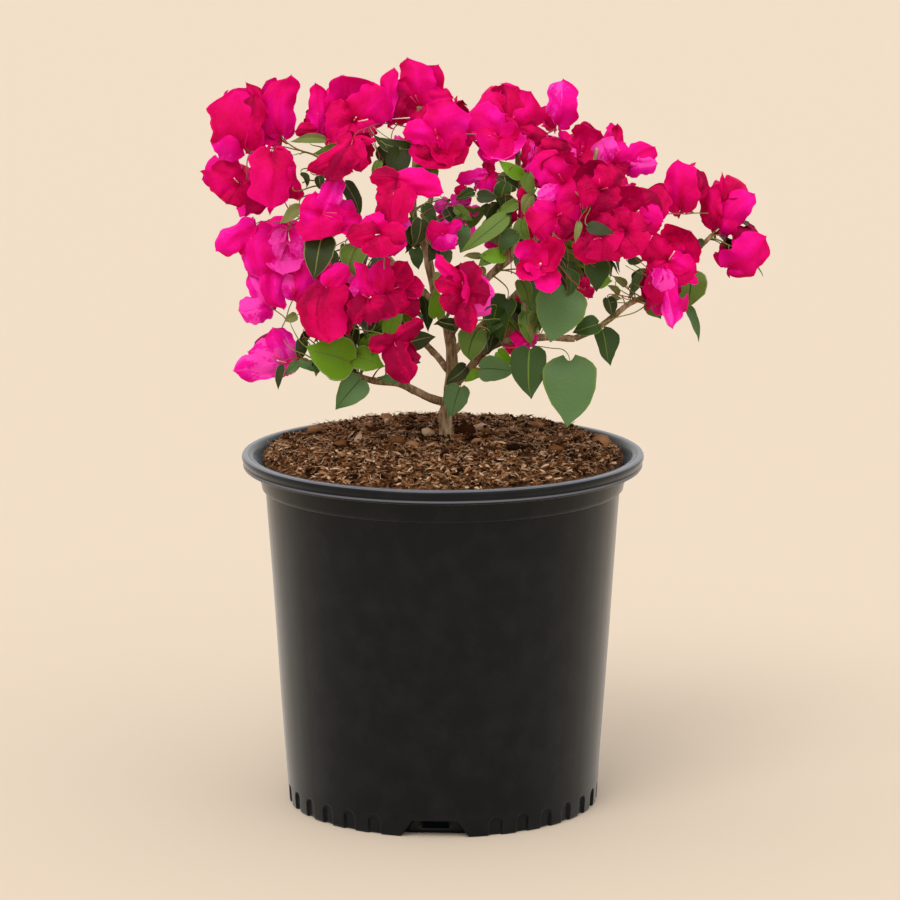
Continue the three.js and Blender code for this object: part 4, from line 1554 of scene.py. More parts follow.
# The heads of each mass. A row for a bract: across, forward, up, width, bulge and tint.
SET_HEADS: dict[str, list[Head]] = {
    "bloom_left_crest": [
        bloom((5, 0, -18), (-10, 6, 38, 36, 9, RUBY), (8, 8, 36, 19, 5, CRIMSON),
              (-20, 7, 12, 25, 6, FUCHSIA)),
    ],
    "bloom_left_plume": [
        bloom((-2, 2, -22), (5, 6, 41, 23, 6, CERISE), (-22, 4, 37, 10, 3, RUBY), (-8, 4, 21, 15, 4, ROSE)),
    ],
    "bloom_left_tip": [
        bloom((6, 6, -3), (-20, 4, 12, 24, 6, RUBY), (-9, 5, -15, 21, 4, CHERRY),
              (-28, 3, 7, 7, 2, MAGENTA)),
    ],
    "bloom_left_face": [
        bloom((-3, 4, 17), (-4, 7, -40, 30, 9, RUBY), (12, 4, -35, 22, 7, RED),
              (-2, 5, -43, 7, 2, MAGENTA)),
    ],
    "bloom_left_knot": [
        bloom((-2, 6, -3), (-15, 4, 4, 23, 5, ROSE), (12, 2, 27, 16, 3, VIOLET), (28, 5, -9, 18, -3, ROSE),
              (2, 7, -18, 32, 6, MAGENTA)),
    ],
    "bloom_left_skirt": [
        bloom((-5, 4, 30), (-26, 5, -17, 19, 5, FUCHSIA), (-11, 3, -20, 13, 3, CERISE),
              (4, 6, -36, 24, 6, FUCHSIA)),
        bloom((2, 2, 9), (7, 3, -38, 17, 4, FUCHSIA), (-4, 0, -15, 14, 3, ORCHID)),
        bloom((18, 6, 27), (-3, 6, -31, 27, -5, ORCHID), (13, 4, -19, 18, 4, ORCHID),
              (-13, 3, -24, 13, 4, BLUSH)),
        bloom((22, 4, -19), (11, 4, 22, 16, 4, FUCHSIA), (-7, 2, 15, 12, 3, BLUSH),
              (13, 6, 8, 12, 3, CERISE)),
        bloom((4, 0, -25), (-14, 2, 21, 12, 3, BLUSH), (-20, 5, -5, 20, 5, BLUSH),
              (6, -3, 10, 12, 3, ORCHID)),
    ],
    "bloom_left_foot": [
        bloom((14, 4, -8), (-11, 3, 24, 19, 5, ORCHID), (-38, 6, -6, 19, 5, BLUSH),
              (-27, 4, 10, 21, 5, BLUSH), (5, 3, -7, 9, 3, FUCHSIA)),
    ],
    "bloom_left_bell": [
        bloom((1, 4, 11), (-2, 8, -38, 32, 10, CHERRY), (14, 3, -33, 16, 4, WINE),
              (15, -2, 15, 15, 4, CERISE), (-14, -3, -12, 16, 3, WINE)),
    ],
    "bloom_left_ember": [
        bloom((-4, 4, -1), (-4, 2, 23, 15, 4, RUBY), (15, 5, 20, 18, -4, CHERRY),
              (9, 6, -15, 22, 4, GARNET), (26, 2, 4, 17, -3, CHERRY), (24, 0, -12, 16, 3, WINE)),
        bloom((-16, 2, -5), (-6, 3, 26, 10, 3, CERISE), (-12, 4, -16, 15, 4, WINE),
              (5, 6, -17, 17, 4, GARNET), (13, 8, -3, 10, 4, CHERRY)),
    ],
    "bloom_low_lantern": [
        bloom((0, 4, 7), (12, 6, -27, 20, 6, WINE), (-18, 4, -1, 13, 4, WINE), (19, 2, 15, 12, 4, WINE)),
    ],
    "bloom_left_brow": [
        bloom((2, 2, -11), (-8, 6, -20, 24, 5, RED), (-20, 5, 4, 26, 5, RED), (-3, 4, 32, 32, -6, MAGENTA),
              (23, 6, 22, 30, 6, MAGENTA), (14, 5, -8, 22, 5, MAGENTA)),
        bloom((-21, -2, -17), (-2, 2, 33, 14, 4, ROSE), (-17, 2, 1, 11, 3, CRIMSON),
              (10, -3, 20, 18, 3, MAGENTA)),
        bloom((25, 0, -9), (4, 2, 35, 13, 3, ROSE), (12, -4, 20, 16, 3, WINE)),
    ],
    "bloom_left_eye": [
        bloom((11, 2, 16), (-30, 4, -22, 14, 4, CHERRY), (-17, 6, -29, 20, 5, GARNET),
              (7, 3, -22, 14, 4, CHERRY), (15, 0, -2, 6, 2, CHERRY)),
    ],
    "bloom_centre_left": [
        bloom((10, -4, 35), (-6, 5, -30, 26, 6, CHERRY), (-19, 2, 2, 13, 3, CRIMSON),
              (31, 0, -6, 18, 4, CERISE), (-10, 3, -12, 20, 4, CRIMSON)),
        bloom((-2, 4, -1), (-22, 5, -2, 17, 5, CHERRY), (3, 7, -16, 26, 6, CHERRY),
              (18, 5, -1, 17, 5, CHERRY), (-9, 2, 12, 19, 4, CERISE)),
    ],
    "bloom_crown_peak": [
        bloom((-2, 2, -12), (-4, 4, 34, 24, 5, MAGENTA), (13, 3, 29, 22, -4, RUBY),
              (23, 5, 6, 22, 4, MAGENTA), (-17, 3, 18, 24, 4, RED), (-20, -2, -4, 22, 3, CRIMSON),
              (4, 4, -14, 22, 4, MAGENTA)),
    ],
    "bloom_crown_face": [
        bloom((-1, 4, -3), (-23, 4, 3, 17, 4, ROSE), (12, 6, 22, 32, 6, ROSE), (-7, 6, -23, 32, -5, RED),
              (17, 4, -19, 24, -4, RED), (-15, 2, -14, 20, 3, CRIMSON), (20, 3, 3, 24, 4, MAGENTA),
              (-8, 2, 20, 22, 3, CRIMSON)),
    ],
    "bloom_right_peak": [
        bloom((2, -2, -10), (-18, 2, 21, 27, 5, RED), (0, 0, 29, 27, 5, CRIMSON),
              (19, 2, 22, 26, 5, MAGENTA), (20, 2, 4, 20, 3, CRIMSON)),
        bloom((-4, 6, -17), (-13, 5, -8, 32, 6, MAGENTA), (12, 5, -12, 27, -4, VIOLET),
              (-1, 6, -18, 24, 4, MAGENTA), (-23, 3, 14, 27, 5, ROSE), (5, 4, 14, 27, -4, CRIMSON)),
        bloom((18, 2, -19), (-6, 3, -16, 6, 2, RED), (-2, 2, -14, 6, 2, BLUSH),
              (4, -2, 10, 20, 4, CRIMSON)),
    ],
    "bloom_right_petal": [
        bloom((1, 0, -11), (3, 3, 31, 22, 6, VIOLET), (9, -1, 17, 16, 4, ROSE), (-10, 2, 12, 11, 3, RED)),
    ],
    "bloom_right_shoulder": [
        bloom((-19, 4, -5), (-12, 2, 18, 8, 2, MAGENTA), (6, 4, 21, 23, -4, RED), (16, 4, 16, 22, -4, RED),
              (13, 6, -9, 23, 4, RED), (-10, 5, 0, 17, 4, BLUSH)),
        bloom((5, 4, -10), (3, 2, 27, 9, 2, RED), (-8, 5, 17, 20, 5, BLUSH), (9, 5, 12, 21, 5, ROSE),
              (10, 4, -6, 17, 4, CRIMSON), (-5, 5, -8, 18, 4, ROSE)),
        bloom((16, 2, -13), (17, 3, 15, 18, 4, ROSE), (19, 5, 4, 17, 4, BLUSH), (9, 5, 6, 11, 3, BLUSH)),
    ],
    "bloom_centre_right": [
        bloom((-1, 0, 16), (2, 3, 13, 21, 4, GARNET), (-8, 2, 8, 12, 3, CHERRY)),
        bloom((7, 4, -2), (-20, 4, 18, 24, 5, CERISE), (-5, 6, 20, 27, -4, CHERRY),
              (-18, 6, -12, 12, 3, ORCHID), (12, 6, -14, 27, 5, RUBY), (13, 4, 13, 24, -4, GARNET),
              (-14, 4, 2, 22, 4, RUBY)),
        bloom((2, 6, -25), (-16, 6, -13, 24, 5, RUBY), (4, 6, -19, 27, -4, CHERRY),
              (-15, 4, 9, 22, 4, CERISE), (13, 4, 12, 22, 4, RUBY), (13, 6, -9, 20, 4, GARNET)),
    ],
    "bloom_right_heart": [
        bloom((2, 2, 16), (-7, 4, 20, 24, -4, WINE), (8, 4, 17, 21, 4, CHERRY), (-15, 5, -3, 22, 4, CHERRY),
              (9, 5, -12, 22, 4, WINE)),
        bloom((2, 6, -16), (0, 6, -17, 28, 5, CHERRY), (-17, 5, -13, 20, 4, GARNET),
              (-13, 4, 13, 22, -4, WINE), (8, 4, 15, 22, 4, GARNET), (12, 6, -8, 22, 5, CHERRY)),
        bloom((19, 4, -13), (10, 6, -14, 24, 5, CHERRY), (-6, 3, 14, 22, 4, GARNET),
              (14, 5, 5, 22, 4, CHERRY)),
    ],
    "bloom_right_cheek": [
        bloom((-8, 4, -1), (-7, 4, 20, 24, -4, CHERRY), (20, 5, -5, 21, 5, CERISE),
              (15, 2, 15, 24, 4, GARNET), (-11, 4, -6, 20, 4, RUBY), (12, 5, -8, 17, 4, CHERRY)),
    ],
    "bloom_right_fan": [
        bloom((0, 2, -17), (0, 5, 34, 23, 7, MAGENTA), (-21, 2, 16, 15, 4, CRIMSON),
              (16, 2, 25, 13, 4, CRIMSON)),
    ],
    "bloom_right_pair": [
        bloom((-2, 0, -16), (-7, 4, 30, 16, 5, RED), (2, 3, 38, 5, 1, RED), (24, 4, 24, 20, 5, ROSE),
              (10, 5, 8, 20, 4, CERISE)),
    ],
    "bloom_right_lantern": [
        bloom((-9, 2, -16), (25, 6, 22, 26, 8, CERISE), (23, 4, 8, 13, 4, VIOLET),
              (10, -2, 21, 12, 4, RED)),
    ],
    "bloom_right_veil": [
        bloom((-1, 4, -5), (15, 4, 20, 32, -5, CHERRY), (-13, 4, 14, 22, 4, CHERRY),
              (18, 5, -10, 22, 4, CERISE), (-15, 5, -9, 12, 4, RUBY), (2, 3, 18, 22, -4, RUBY)),
    ],
    "bloom_right_drop": [
        bloom((-3, 4, 24), (-7, 5, -25, 18, 5, RED), (9, 5, -42, 14, 4, VIOLET),
              (-1, 9, -17, 18, 6, BLUSH)),
        bloom((5, 2, 20), (17, 2, -7, 7, 2, ROSE)),
    ],
    "bloom_low_right_face": [
        bloom((0, 4, 0), (-15, 6, 16, 18, -4, CERISE), (13, 6, 17, 19, -4, CHERRY),
              (-17, 6, -5, 15, -3, RUBY), (7, 6, -18, 18, -4, CERISE)),
    ],
    "bloom_front_ember": [
        bloom((-1, 4, 6), (-21, 3, 22, 10, 3, MAGENTA), (-19, 4, 9, 14, 4, CRIMSON),
              (7, 4, 20, 16, 4, WINE), (-13, 6, -12, 18, 4, WINE), (18, 4, -3, 17, 4, WINE),
              (4, 7, -29, 15, 5, WINE), (15, 2, 7, 12, 3, WINE)),
    ],
    "leaves_centre": [
        bloom((4, -20, 33), (-22, 0, -4, 10, 3, VIOLET), (2, 2, -14, 14, 4, ROSE),
              (0, -2, 11, 9, 3, CRIMSON), (9, 0, -6, 9, 3, RED)),
        bloom((-15, -22, 17), (-7, 0, 0, 9, 2, BLUSH), (0, 0, 10, 9, 2, RED), (8, 0, 0, 9, 2, BLUSH)),
        bloom((-23, -24, 15), (-9, 0, -7, 10, 3, BLUSH)),
        bloom((-26, -2, -8), (-12, 2, 4, 16, 4, MAGENTA), (0, 4, -12, 18, 5, VIOLET),
              (12, 0, 9, 8, 3, ROSE)),
        bloom((17, -14, 2), (2, 2, 12, 13, 3, CRIMSON), (-6, 0, 5, 9, 3, WINE)),
        bloom((17, -8, -13), (-16, 2, -1, 9, 3, ROSE), (-9, 0, 9, 8, 3, CRIMSON)),
        bloom((30, -10, 11), (-2, 2, 14, 10, 3, CRIMSON), (2, 0, -13, 12, 3, CRIMSON)),
        bloom((-7, -16, 7), (-5, 0, 3, 9, 2, ROSE), (5, 0, 5, 7, 2, BLUSH)),
    ],
    "leaves_low_right": [
        bloom((13, -10, -3), (-12, 2, 8, 12, 3, MAGENTA), (-10, 2, -1, 8, 3, VIOLET),
              (5, 0, 9, 8, 2, VIOLET)),
    ],
    "leaves_big": [
        bloom((14, 10, 18), (0, 2, 7, 6, 2, WINE)),
    ],
}

def petal_tints(tint: Petal, rng: Rng) -> np.ndarray:
    """Deals finishes to the faces of a bract: deeper at the heart as painted shade, deeper and paler in
    patches, and paler at the margin as painted highlight.

    Args:
        tint: Its main tint.
        rng: Picks where its patches lie.

    Returns:
        Numbers of the finishes, row by row.
    """
    s, t = BRACT_CUT.centres()
    turn, phase = rng.uniform(0, math.tau), rng.uniform(0, math.tau, 3)
    main = RAMP.index(tint)
    value = main + 2.0 * (math.cos(turn) * t + math.sin(turn) * (2 * s - 1))
    # Painted shade: deeper tints at the bract's heart, in the throat where the bracts meet.
    value = value - 3.6 * np.exp(-(t**2 + s**2) / 0.06) + rng.normal(scale=0.3, size=len(s))
    value += 1.1 * np.sin(5.5 * s + 2.5 * t + phase[0]) * np.sin(3.5 * t - 3 * s + phase[1])
    value += 0.5 * np.sin(8 * t + phase[2])
    # Painted highlight: paler tints along the margin, where light shines through the thin edge.
    value += np.where(np.abs(t) > 0.92, rng.uniform(0, 3.2), 0)
    value += np.where(np.abs(t) < 0.04, rng.choice((-1.6, 1.4, 0.0)), 0)
    return np.clip(np.rint(value), max(0, main - 4), min(main + 2, len(RAMP) - 1)).astype(int)


def shifted(tint: Petal, steps: int) -> Petal:
    """The tint some steps paler, or deeper if negative."""
    return RAMP[min(max(RAMP.index(tint) + steps, 0), len(RAMP) - 1)]


class Flowers:
    """Makes flower heads: papery bracts round small tubular flowers."""

    def __init__(self, rng: Rng) -> None:
        """Opens the stocks that take the bracts and the true flowers.

        Args:
            rng: Picks all that isn't listed.
        """
        self.rng = rng
        self.side_rng = np.random.default_rng(9)
        petals = materials(Petal)
        self.bracts = {side: Stock(f"bracts_{side}", petals) for side in ("front", "back")}
        self.florets = Stock("florets", materials(Tube))

    def tubes(self, foot: Vec, ahead: Vec, count: int, length: float) -> None:
        """Adds the slender true flowers at the foot of a head.

        Args:
            foot: Foot of the head.
            ahead: The way that it opens.
            count: Number of flowers.
            length: Their length.
        """
        rng = self.rng
        steps = np.linspace(0, 1, 6)[:, None]
        for _ in range(count):
            lean = unit(ahead + rng.normal(scale=0.28, size=3))
            curve = rng.normal(scale=0.12, size=3)
            path = foot + lean * length * steps + curve * length * steps**2
            points, faces = stem(path, np.array([0.3, 0.38, 0.32, 0.32, 0.4, 0.46]), 6)
            tint = Tube.CREAM if rng.random() < 0.2 else Tube.ROSY
            self.florets.add(points, faces, number_of(tint))

    def set_head(self, middle: Vec, head: Head) -> tuple[Vec, Vec]:
        """Grows a listed head, with more bracts behind those that are stated.

        Args:
            middle: Middle of its mass.
            head: The head.

        Returns:
            Its foot, and the way that it opens.
        """
        rng = self.rng
        foot = middle + LOOK.T @ np.array(head.at, float)
        mean, longest = np.zeros(3), 0.0
        for number, lobe in enumerate(head.lobes):
            reach = LOOK.T @ np.array([lobe.across, lobe.forward, lobe.up], float)
            length = float(np.linalg.norm(reach))
            mean = mean + reach
            longest = max(longest, length)
            faces = FORE + rng.normal(scale=0.12, size=3)
            cup = math.copysign(rng.uniform(0.32, 0.52), lobe.bulge)
            start = foot + FORE * (1.0 - 0.5 * number)
            ripple = rng.uniform(0.05, 0.09)
            sheet = Sheet(start, start + reach, faces, lobe.width, lobe.bulge, cup, ripple)
            sheet.lay(self.bracts["front"], BRACT_CUT, petal_tints(lobe.tint, rng), rng)
        mean = mean / len(head.lobes)
        for _ in range(2 if longest > 24 else 1):
            size = longest * rng.uniform(0.6, 0.75)
            reach = unit(unit(mean) * 0.7 - FORE * 0.9 + rng.normal(scale=0.25, size=3)) * size
            tint = head.lobes[int(rng.integers(len(head.lobes)))].tint
            away = -FORE + 0.3 * unit(mean)
            back = Sheet(foot - FORE, foot - FORE + reach, away, size * 0.85, size * 0.15, 0.4, 0.06)
            # Painted shade: bracts behind the head are dealt a tint two steps deeper.
            back.lay(self.bracts["front"], BRACT_CUT, petal_tints(shifted(tint, -2), rng), rng)
        if longest > 20:
            self.side_bracts(foot, unit(mean), longest, head.lobes[0].tint)
        ahead = unit(mean + FORE * 0.25 * longest)
        self.tubes(foot, ahead, 2 if longest > 20 else 1, min(13.0, 0.42 * longest))
        return foot - FORE * 0.5, unit(mean)

    def side_bracts(self, foot: Vec, mean: Vec, longest: float, tint: Petal) -> None:
        """Grows a bract to either side behind a head, so that it has body when seen from the side.

        Args:
            foot: Foot of the head.
            mean: The way that the head opens.
            longest: Length of its longest bract.
            tint: Its main tint.
        """
        rng = self.side_rng
        for turn in (-1.0, 1.0):
            out = turn * LOOK[0]
            size = longest * rng.uniform(0.6, 0.8)
            reach = unit(mean * 0.75 - FORE * 0.75 + out * 0.1 + rng.normal(scale=0.14, size=3)) * size
            start = foot - FORE + out
            faces = out + rng.normal(scale=0.2, size=3)
            bract = Sheet(start, start + reach, faces, size * 0.85, size * 0.16, 0.4, 0.06)
            # Painted shade: a tint one step deeper for the bracts behind the head.
            bract.lay(self.bracts["back"], BRACT_CUT, petal_tints(shifted(tint, -1), rng), rng)

    def seeded_head(self, foot: Vec, axis: Vec, length: float, habit: Habit, tint: Petal, side: str) -> None:
        """Grows a head of three bracts round an axis.

        Args:
            foot: Its foot.
            axis: The way that it opens.
            length: Length of a bract.
            habit: How open it stands.
            tint: Its main tint.
            side: The stock that takes its bracts.
        """
        rng = self.rng
        lie = habit.value
        axes = facing_frame(axis, rng.uniform(0, 360))
        opening = math.radians(lie.opening + rng.normal(scale=5))
        for number in range(3):
            turn = number * math.tau / 3 + rng.normal(scale=0.15)
            out = axes[0] * math.cos(turn) + axes[1] * math.sin(turn)
            ahead = axes[2] * math.cos(opening) + out * math.sin(opening)
            faces = out * math.cos(opening) - axes[2] * math.sin(opening)
            size = length * rng.uniform(0.88, 1.08)
            start = foot + out * 0.8
            sheet = Sheet(
                start, start + ahead * size, faces, size * lie.breadth, size * lie.swell,
                rng.uniform(0.3, 0.5), rng.uniform(0.05, 0.08),
            )
            shade = shifted(tint, int(rng.choice((-2, 0, 0, 2))))
            sheet.lay(self.bracts[side], BRACT_CUT, petal_tints(shade, rng), rng)
        self.tubes(foot, axes[2], 2, 0.4 * length)


# --- Leaves ---


@dataclass(frozen=True)
class Leaf:
    """A listed leaf, as the front of the crown is seen.

    Attributes:
        at: Its foot from the middle of the mass: right, forward and up.
        tip: Its tip from its foot: right, forward and up.
        width: Its width.
        tint: Its tint.
    """

    at: Place
    tip: Place
    width: float
    tint: Green


def spray(*rows: tuple[Place, Place, float, Green]) -> list[Leaf]:
    """Leaves from a row for each, in the order of Leaf."""
    return [Leaf(*row) for row in rows]


# The leaves of each mass. A row for a leaf: its foot, its tip, its width and its tint.
SET_LEAVES: dict[str, list[Leaf]] = {
    "leaves_left": spray(
        ((-10, 0, 13), (-5, 3, -30), 22, SHADE), ((15, 0, 6), (-4, 2, -21), 19, GRASS),
        ((5, -12, 50), (12, 2, -25), 11, SHADE), ((4, -14, 36), (13, 0, -7), 8, SHADE),
        ((-12, -10, 54), (1, 0, -10), 7, SHADE), ((-8, -12, 79), (-24, 0, -2), 7, OLIVE),
        ((3, -12, 73), (-19, 2, -4), 10, GRASS), ((-24, -4, 33), (-14, 0, -12), 9, OLIVE),
        ((-25, -6, 34), (4, 0, -12), 6, SHADE), ((-24, -8, 56), (4, 0, -10), 5, SHADE),
    ),
    "leaves_crown": spray(
        ((14, 0, 10), (-27, 2, 8), 12, SHADE), ((6, 2, 9), (-7, 3, -22), 18, SHADE),
        ((-8, 0, 2), (-4, 0, -13), 7, GRASS), ((24, 4, -1), (0, 4, -21), 17, GRASS),
        ((12, -4, -8), (-8, 0, -3), 5, LIME),
    ),
    "leaves_low_left": spray(
        ((5, 6, -5), (-30, 4, 8), 31, LIME), ((8, 3, -1), (20, 3, -8), 19, LIME),
        ((14, -4, 2), (18, 2, 12), 16, LIME), ((41, -12, 7), (22, 0, 6), 15, SHADE),
        ((42, -12, -2), (11, 0, -3), 9, SHADE), ((12, 0, -17), (-17, 3, -20), 20, TEAL),
        ((38, -4, -17), (-15, 0, 1), 8, TEAL), ((-28, -4, 10), (-2, 0, -15), 9, SHADE),
        ((-30, -2, -5), (14, 0, -7), 8, TEAL), ((-31, -2, -5), (-9, 0, -9), 7, TEAL),
        ((-41, 0, -7), (-3, 0, -17), 6, SHADE), ((-32, -6, 27), (-8, 0, -4), 7, OLIVE),
    ),
    "leaves_low_right": spray(
        ((-34, -20, -32), (-6, 3, -21), 18, TEAL), ((-30, -24, -18), (-15, 1, -11), 12, SHADE),
        ((-19, -14, -21), (-12, 0, -8), 8, LIME), ((-20, 0, -20), (24, 3, -2), 18, TEAL),
        ((-8, -4, -8), (10, 0, -10), 10, LIME), ((-22, -14, 7), (-7, 3, -22), 21, GRASS),
        ((-2, -6, 28), (-11, 3, -24), 22, PINE), ((11, -4, 19), (3, 3, -23), 12, GRASS),
        ((7, -6, 41), (6, 2, -19), 11, GRASS), ((16, -8, 40), (2, 2, -22), 14, TEAL),
        ((-50, -10, 16), (-1, 2, 19), 12, LIME), ((-36, -14, 10), (-16, 0, 3), 9, SHADE),
    ),
    "leaves_big": spray(
        ((2, 2, 15), (-11, 6, -34), 35, TEAL), ((23, -8, -6), (-17, 2, -6), 15, PINE),
        ((21, -6, 38), (1, 2, -22), 18, PINE), ((3, -8, 36), (-2, 0, -18), 11, SHADE),
        ((15, 34, 58), (18, 2, -5), 10, SHADE), ((30, -20, 12), (3, 0, -13), 10, SHADE),
        ((32, -20, 10), (8, 0, 2), 6, OLIVE), ((44, -14, 38), (10, 0, -1), 7, SHADE),
        ((9, 34, 61), (-3, 0, -14), 5, OLIVE),
    ),
    "leaves_hanging": spray(
        ((6, 2, 17), (1, 6, -45), 37, TEAL), ((-21, 0, 25), (0, 4, -34), 26, PINE),
        ((29, -24, 39), (4, 3, -25), 18, PINE),
    ),
    "leaves_right_low": spray(
        ((20, 3, 15), (-3, 3, -25), 23, GRASS), ((18, -4, -7), (9, 0, -25), 7, TEAL),
        ((-7, -2, -4), (7, 2, -12), 14, GRASS), ((29, 0, 37), (-7, 0, -4), 6, SHADE),
        ((-24, -4, 7), (-9, 0, 6), 6, OLIVE), ((-21, -4, 5), (8, 0, 10), 6, OLIVE),
        ((-29, -4, 1), (-8, 0, 6), 5, OLIVE), ((-19, -4, 11), (10, 0, 8), 7, SHADE),
    ),
    "leaves_centre": spray(
        ((16, 4, 4), (-31, 4, -25), 14, GRASS), ((23, 0, 14), (-14, 2, -7), 8, GRASS),
        ((-3, -6, 18), (14, 0, -1), 10, SHADE), ((15, 2, -22), (-18, 2, -1), 12, LIME),
        ((-1, 0, -23), (-12, 0, 1), 5, OLIVE), ((20, -8, -10), (-9, 0, -10), 11, SHADE),
        ((27, -8, 32), (-16, 0, 10), 10, LIME), ((23, -10, 24), (-14, 0, 8), 10, SHADE),
        ((-18, -12, 11), (11, 0, -10), 8, GRASS), ((-41, -14, 7), (14, 0, -9), 8, OLIVE),
        ((-24, -16, 10), (6, 0, -11), 10, SHADE), ((-12, -12, -2), (-3, 0, -18), 9, TEAL),
        ((-47, -10, 3), (3, 0, -23), 14, SHADE), ((-49, -12, -6), (-2, 0, -15), 8, SHADE),
        ((-25, -14, -19), (2, 0, -10), 10, TEAL), ((25, 0, -11), (14, 0, -4), 5, SHADE),
        ((31, 0, 18), (8, 0, -5), 8, SHADE), ((0, -8, -30), (-1, 0, -9), 5, OLIVE),
        ((31, 2, 33), (4, 0, -16), 10, GRASS), ((33, 4, 18), (-6, 0, -14), 9, OLIVE),
        ((27, 4, 2), (6, 0, -16), 11, GRASS), ((23, 6, -8), (-12, 0, -13), 13, PINE),
        ((38, 2, 8), (4, 0, -14), 9, LIME), ((12, -12, 32), (12, 0, -8), 10, OLIVE),
        ((-6, -16, 22), (-12, 0, -6), 9, PINE), ((30, 4, -20), (-4, 2, -16), 12, PINE),
        ((-42, -4, 2), (-4, 0, -19), 13, SHADE), ((-36, -2, -6), (5, 0, -16), 12, PINE),
        ((-53, -6, 4), (-3, 0, -16), 11, SHADE), ((-39, -8, 12), (7, 0, -12), 10, PINE),
        ((-33, -4, -15), (-3, 0, -12), 9, SHADE), ((-46, -6, -18), (2, 0, -14), 10, PINE),
        ((-30, -6, -34), (-2, 0, -12), 7, OLIVE), ((8, 2, -22), (-11, 2, -8), 9, GRASS),
    ),
}

# Ends of bare twigs from the middle of each mass: right, forward and up.
BARE_TIPS: dict[str, tuple[Place, ...]] = {
    "leaves_centre": (
        (41, -2, 20), (35, 0, 36), (22, -2, 39), (12, 0, 28), (33, 2, 8), (29, -4, 24), (19, 0, 16),
        (26, 2, -6), (37, 0, -4), (6, -4, 14), (-12, -6, 26), (-30, -4, 20), (-44, -6, -6), (-20, -8, -14),
        (-34, -2, -38), (-26, -2, -44), (-18, -4, -36), (2, -2, -40), (20, 0, -34), (12, 0, -28),
    ),
    "leaves_big": (
        (35, -16, 40), (42, -14, 34), (28, -14, 44), (48, -18, 22), (24, -10, 32), (52, -12, 30),
        (36, -16, 24), (30, -18, 30), (40, -12, 14), (58, -8, 22), (18, -10, 42), (46, -10, 42),
    ),
    "leaves_low_left": (
        (-36, -4, 22), (-26, -4, 18), (-18, -4, 22), (-40, -2, 10), (-14, -4, 12), (-30, 0, 2),
        (24, -6, 14), (34, -8, -6), (16, -6, -8),
    ),
    "bloom_left_knot": (
        (-10, -6, 26), (-22, -6, 16), (-24, -6, 4), (18, -6, 28), (-30, -4, -12),
    ),
    "bloom_left_eye": (
        (-18, -6, 14), (-22, -6, -12), (-30, -6, 6), (20, -6, 12),
    ),
}

# The tint of a leaf's rim, and of its midrib, for each tint of its blade.
RIM = {SHADE: OLIVE, PINE: GRASS, TEAL: GRASS, GRASS: PALE, OLIVE: PALE, LIME: PALE, PALE: PALE}
RIB = RIM | {TEAL: PINE, GRASS: PINE, LIME: GRASS}


class Foliage:
    """Makes leaves: heart-shaped blades folded on their midribs."""

    def __init__(self, rng: Rng) -> None:
        """Opens the stock that takes the leaves."""
        self.rng = rng
        self.leaves = Stock("leaves", materials(Green))

    def grow(self, foot: Vec, tip: Vec, faces: Vec, width: float, tint: Green) -> None:
        """Grows one leaf between two places.

        Args:
            foot: The place of its foot.
            tip: The place of its tip.
            faces: The way that it faces, roughly.
            width: Its width.
            tint: Its tint.
        """
        rng = self.rng
        length = float(np.linalg.norm(tip - foot))
        sheet = Sheet(
            foot, tip, faces + rng.normal(scale=0.2, size=3), width, length * rng.uniform(0.03, 0.1),
            rng.uniform(-0.35, 0.1), rng.uniform(0.012, 0.03),
        )
        t = LEAF_CUT.centres()[1]
        dealt = np.full(len(t), number_of(tint))
        if rng.random() < 0.75:
            dealt[np.abs(t) > 0.93] = number_of(RIM[tint])
        dealt[np.abs(t) < 0.045] = number_of(RIB[tint] if rng.random() < 0.6 else tint)
        sheet.lay(self.leaves, LEAF_CUT, dealt, rng)


# --- The crown ---


@dataclass(frozen=True)
class Window:
    """An opening in the crown that seeded growth keeps clear: its middle and half size."""

    across: float
    up: float
    half_width: float
    half_height: float

    def holds(self, across: float, up: float, margin: float) -> bool:
        """Whether something of a size, seen from the front, would lie in the opening.

        Args:
            across: How far to the right its middle is.
            up: How high its middle is.
            margin: Half its size.

        Returns:
            True if it would.
        """
        far = abs(across - self.across) / (self.half_width + margin)
        high = abs(up - self.up) / (self.half_height + margin)
        return math.hypot(far, high) < 1


WINDOWS: list[Window] = [Window(*row) for row in (
    (-57, 436, 10, 26), (-4, 449, 8, 8), (12, 441, 14, 12), (-16, 415, 9, 9), (-15, 379, 8, 12),
    (15, 380, 14, 12), (43, 371, 13, 10), (-12, 310, 18, 22), (20, 300, 20, 14), (139, 442, 11, 5),
    (172, 396, 17, 26), (-124, 454, 8, 6), (-100, 478, 8, 10), (-100, 428, 12, 10), (-116, 464, 6, 8),
    (-110, 352, 8, 20), (-68, 404, 7, 12), (106, 340, 20, 18), (-93, 455, 7, 14), (74, 476, 7, 8),
    (16, 502, 7, 8),
)]


# Shares of the habits and tints that the seeded heads and leaves are picked from.
HABITS = {Habit.TRUMPET: 0.36, Habit.STAR: 0.12, Habit.BELL: 0.3, Habit.LANTERN: 0.14, Habit.PLUME: 0.08}
BACK_TINTS = {MAGENTA: 0.36, CRIMSON: 0.22, ROSE: 0.16, RED: 0.1, VIOLET: 0.11, BLUSH: 0.05}
BACK_GREENS = {SHADE: 0.12, TEAL: 0.24, PINE: 0.2, GRASS: 0.24, OLIVE: 0.08, LIME: 0.12}
FRONT_GREENS = {SHADE: 0.34, TEAL: 0.14, PINE: 0.26, GRASS: 0.14, OLIVE: 0.1, LIME: 0.02}
LIMB_GREENS = (TEAL, GRASS, PINE, LIME, SHADE)
FULL = 0.52  # share of its box that a rounded mass fills
GOLDEN_TURN = 2.39996  # turn in radians that spreads places evenly round a ball
DEPTH_RISE = 0.19  # how much higher a thing looks for each millimetre that it lies further back


def nodes_of(kind: str) -> list[str]:
    """The masses of the frame whose names start with a word."""
    return [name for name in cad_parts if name.startswith(kind)]


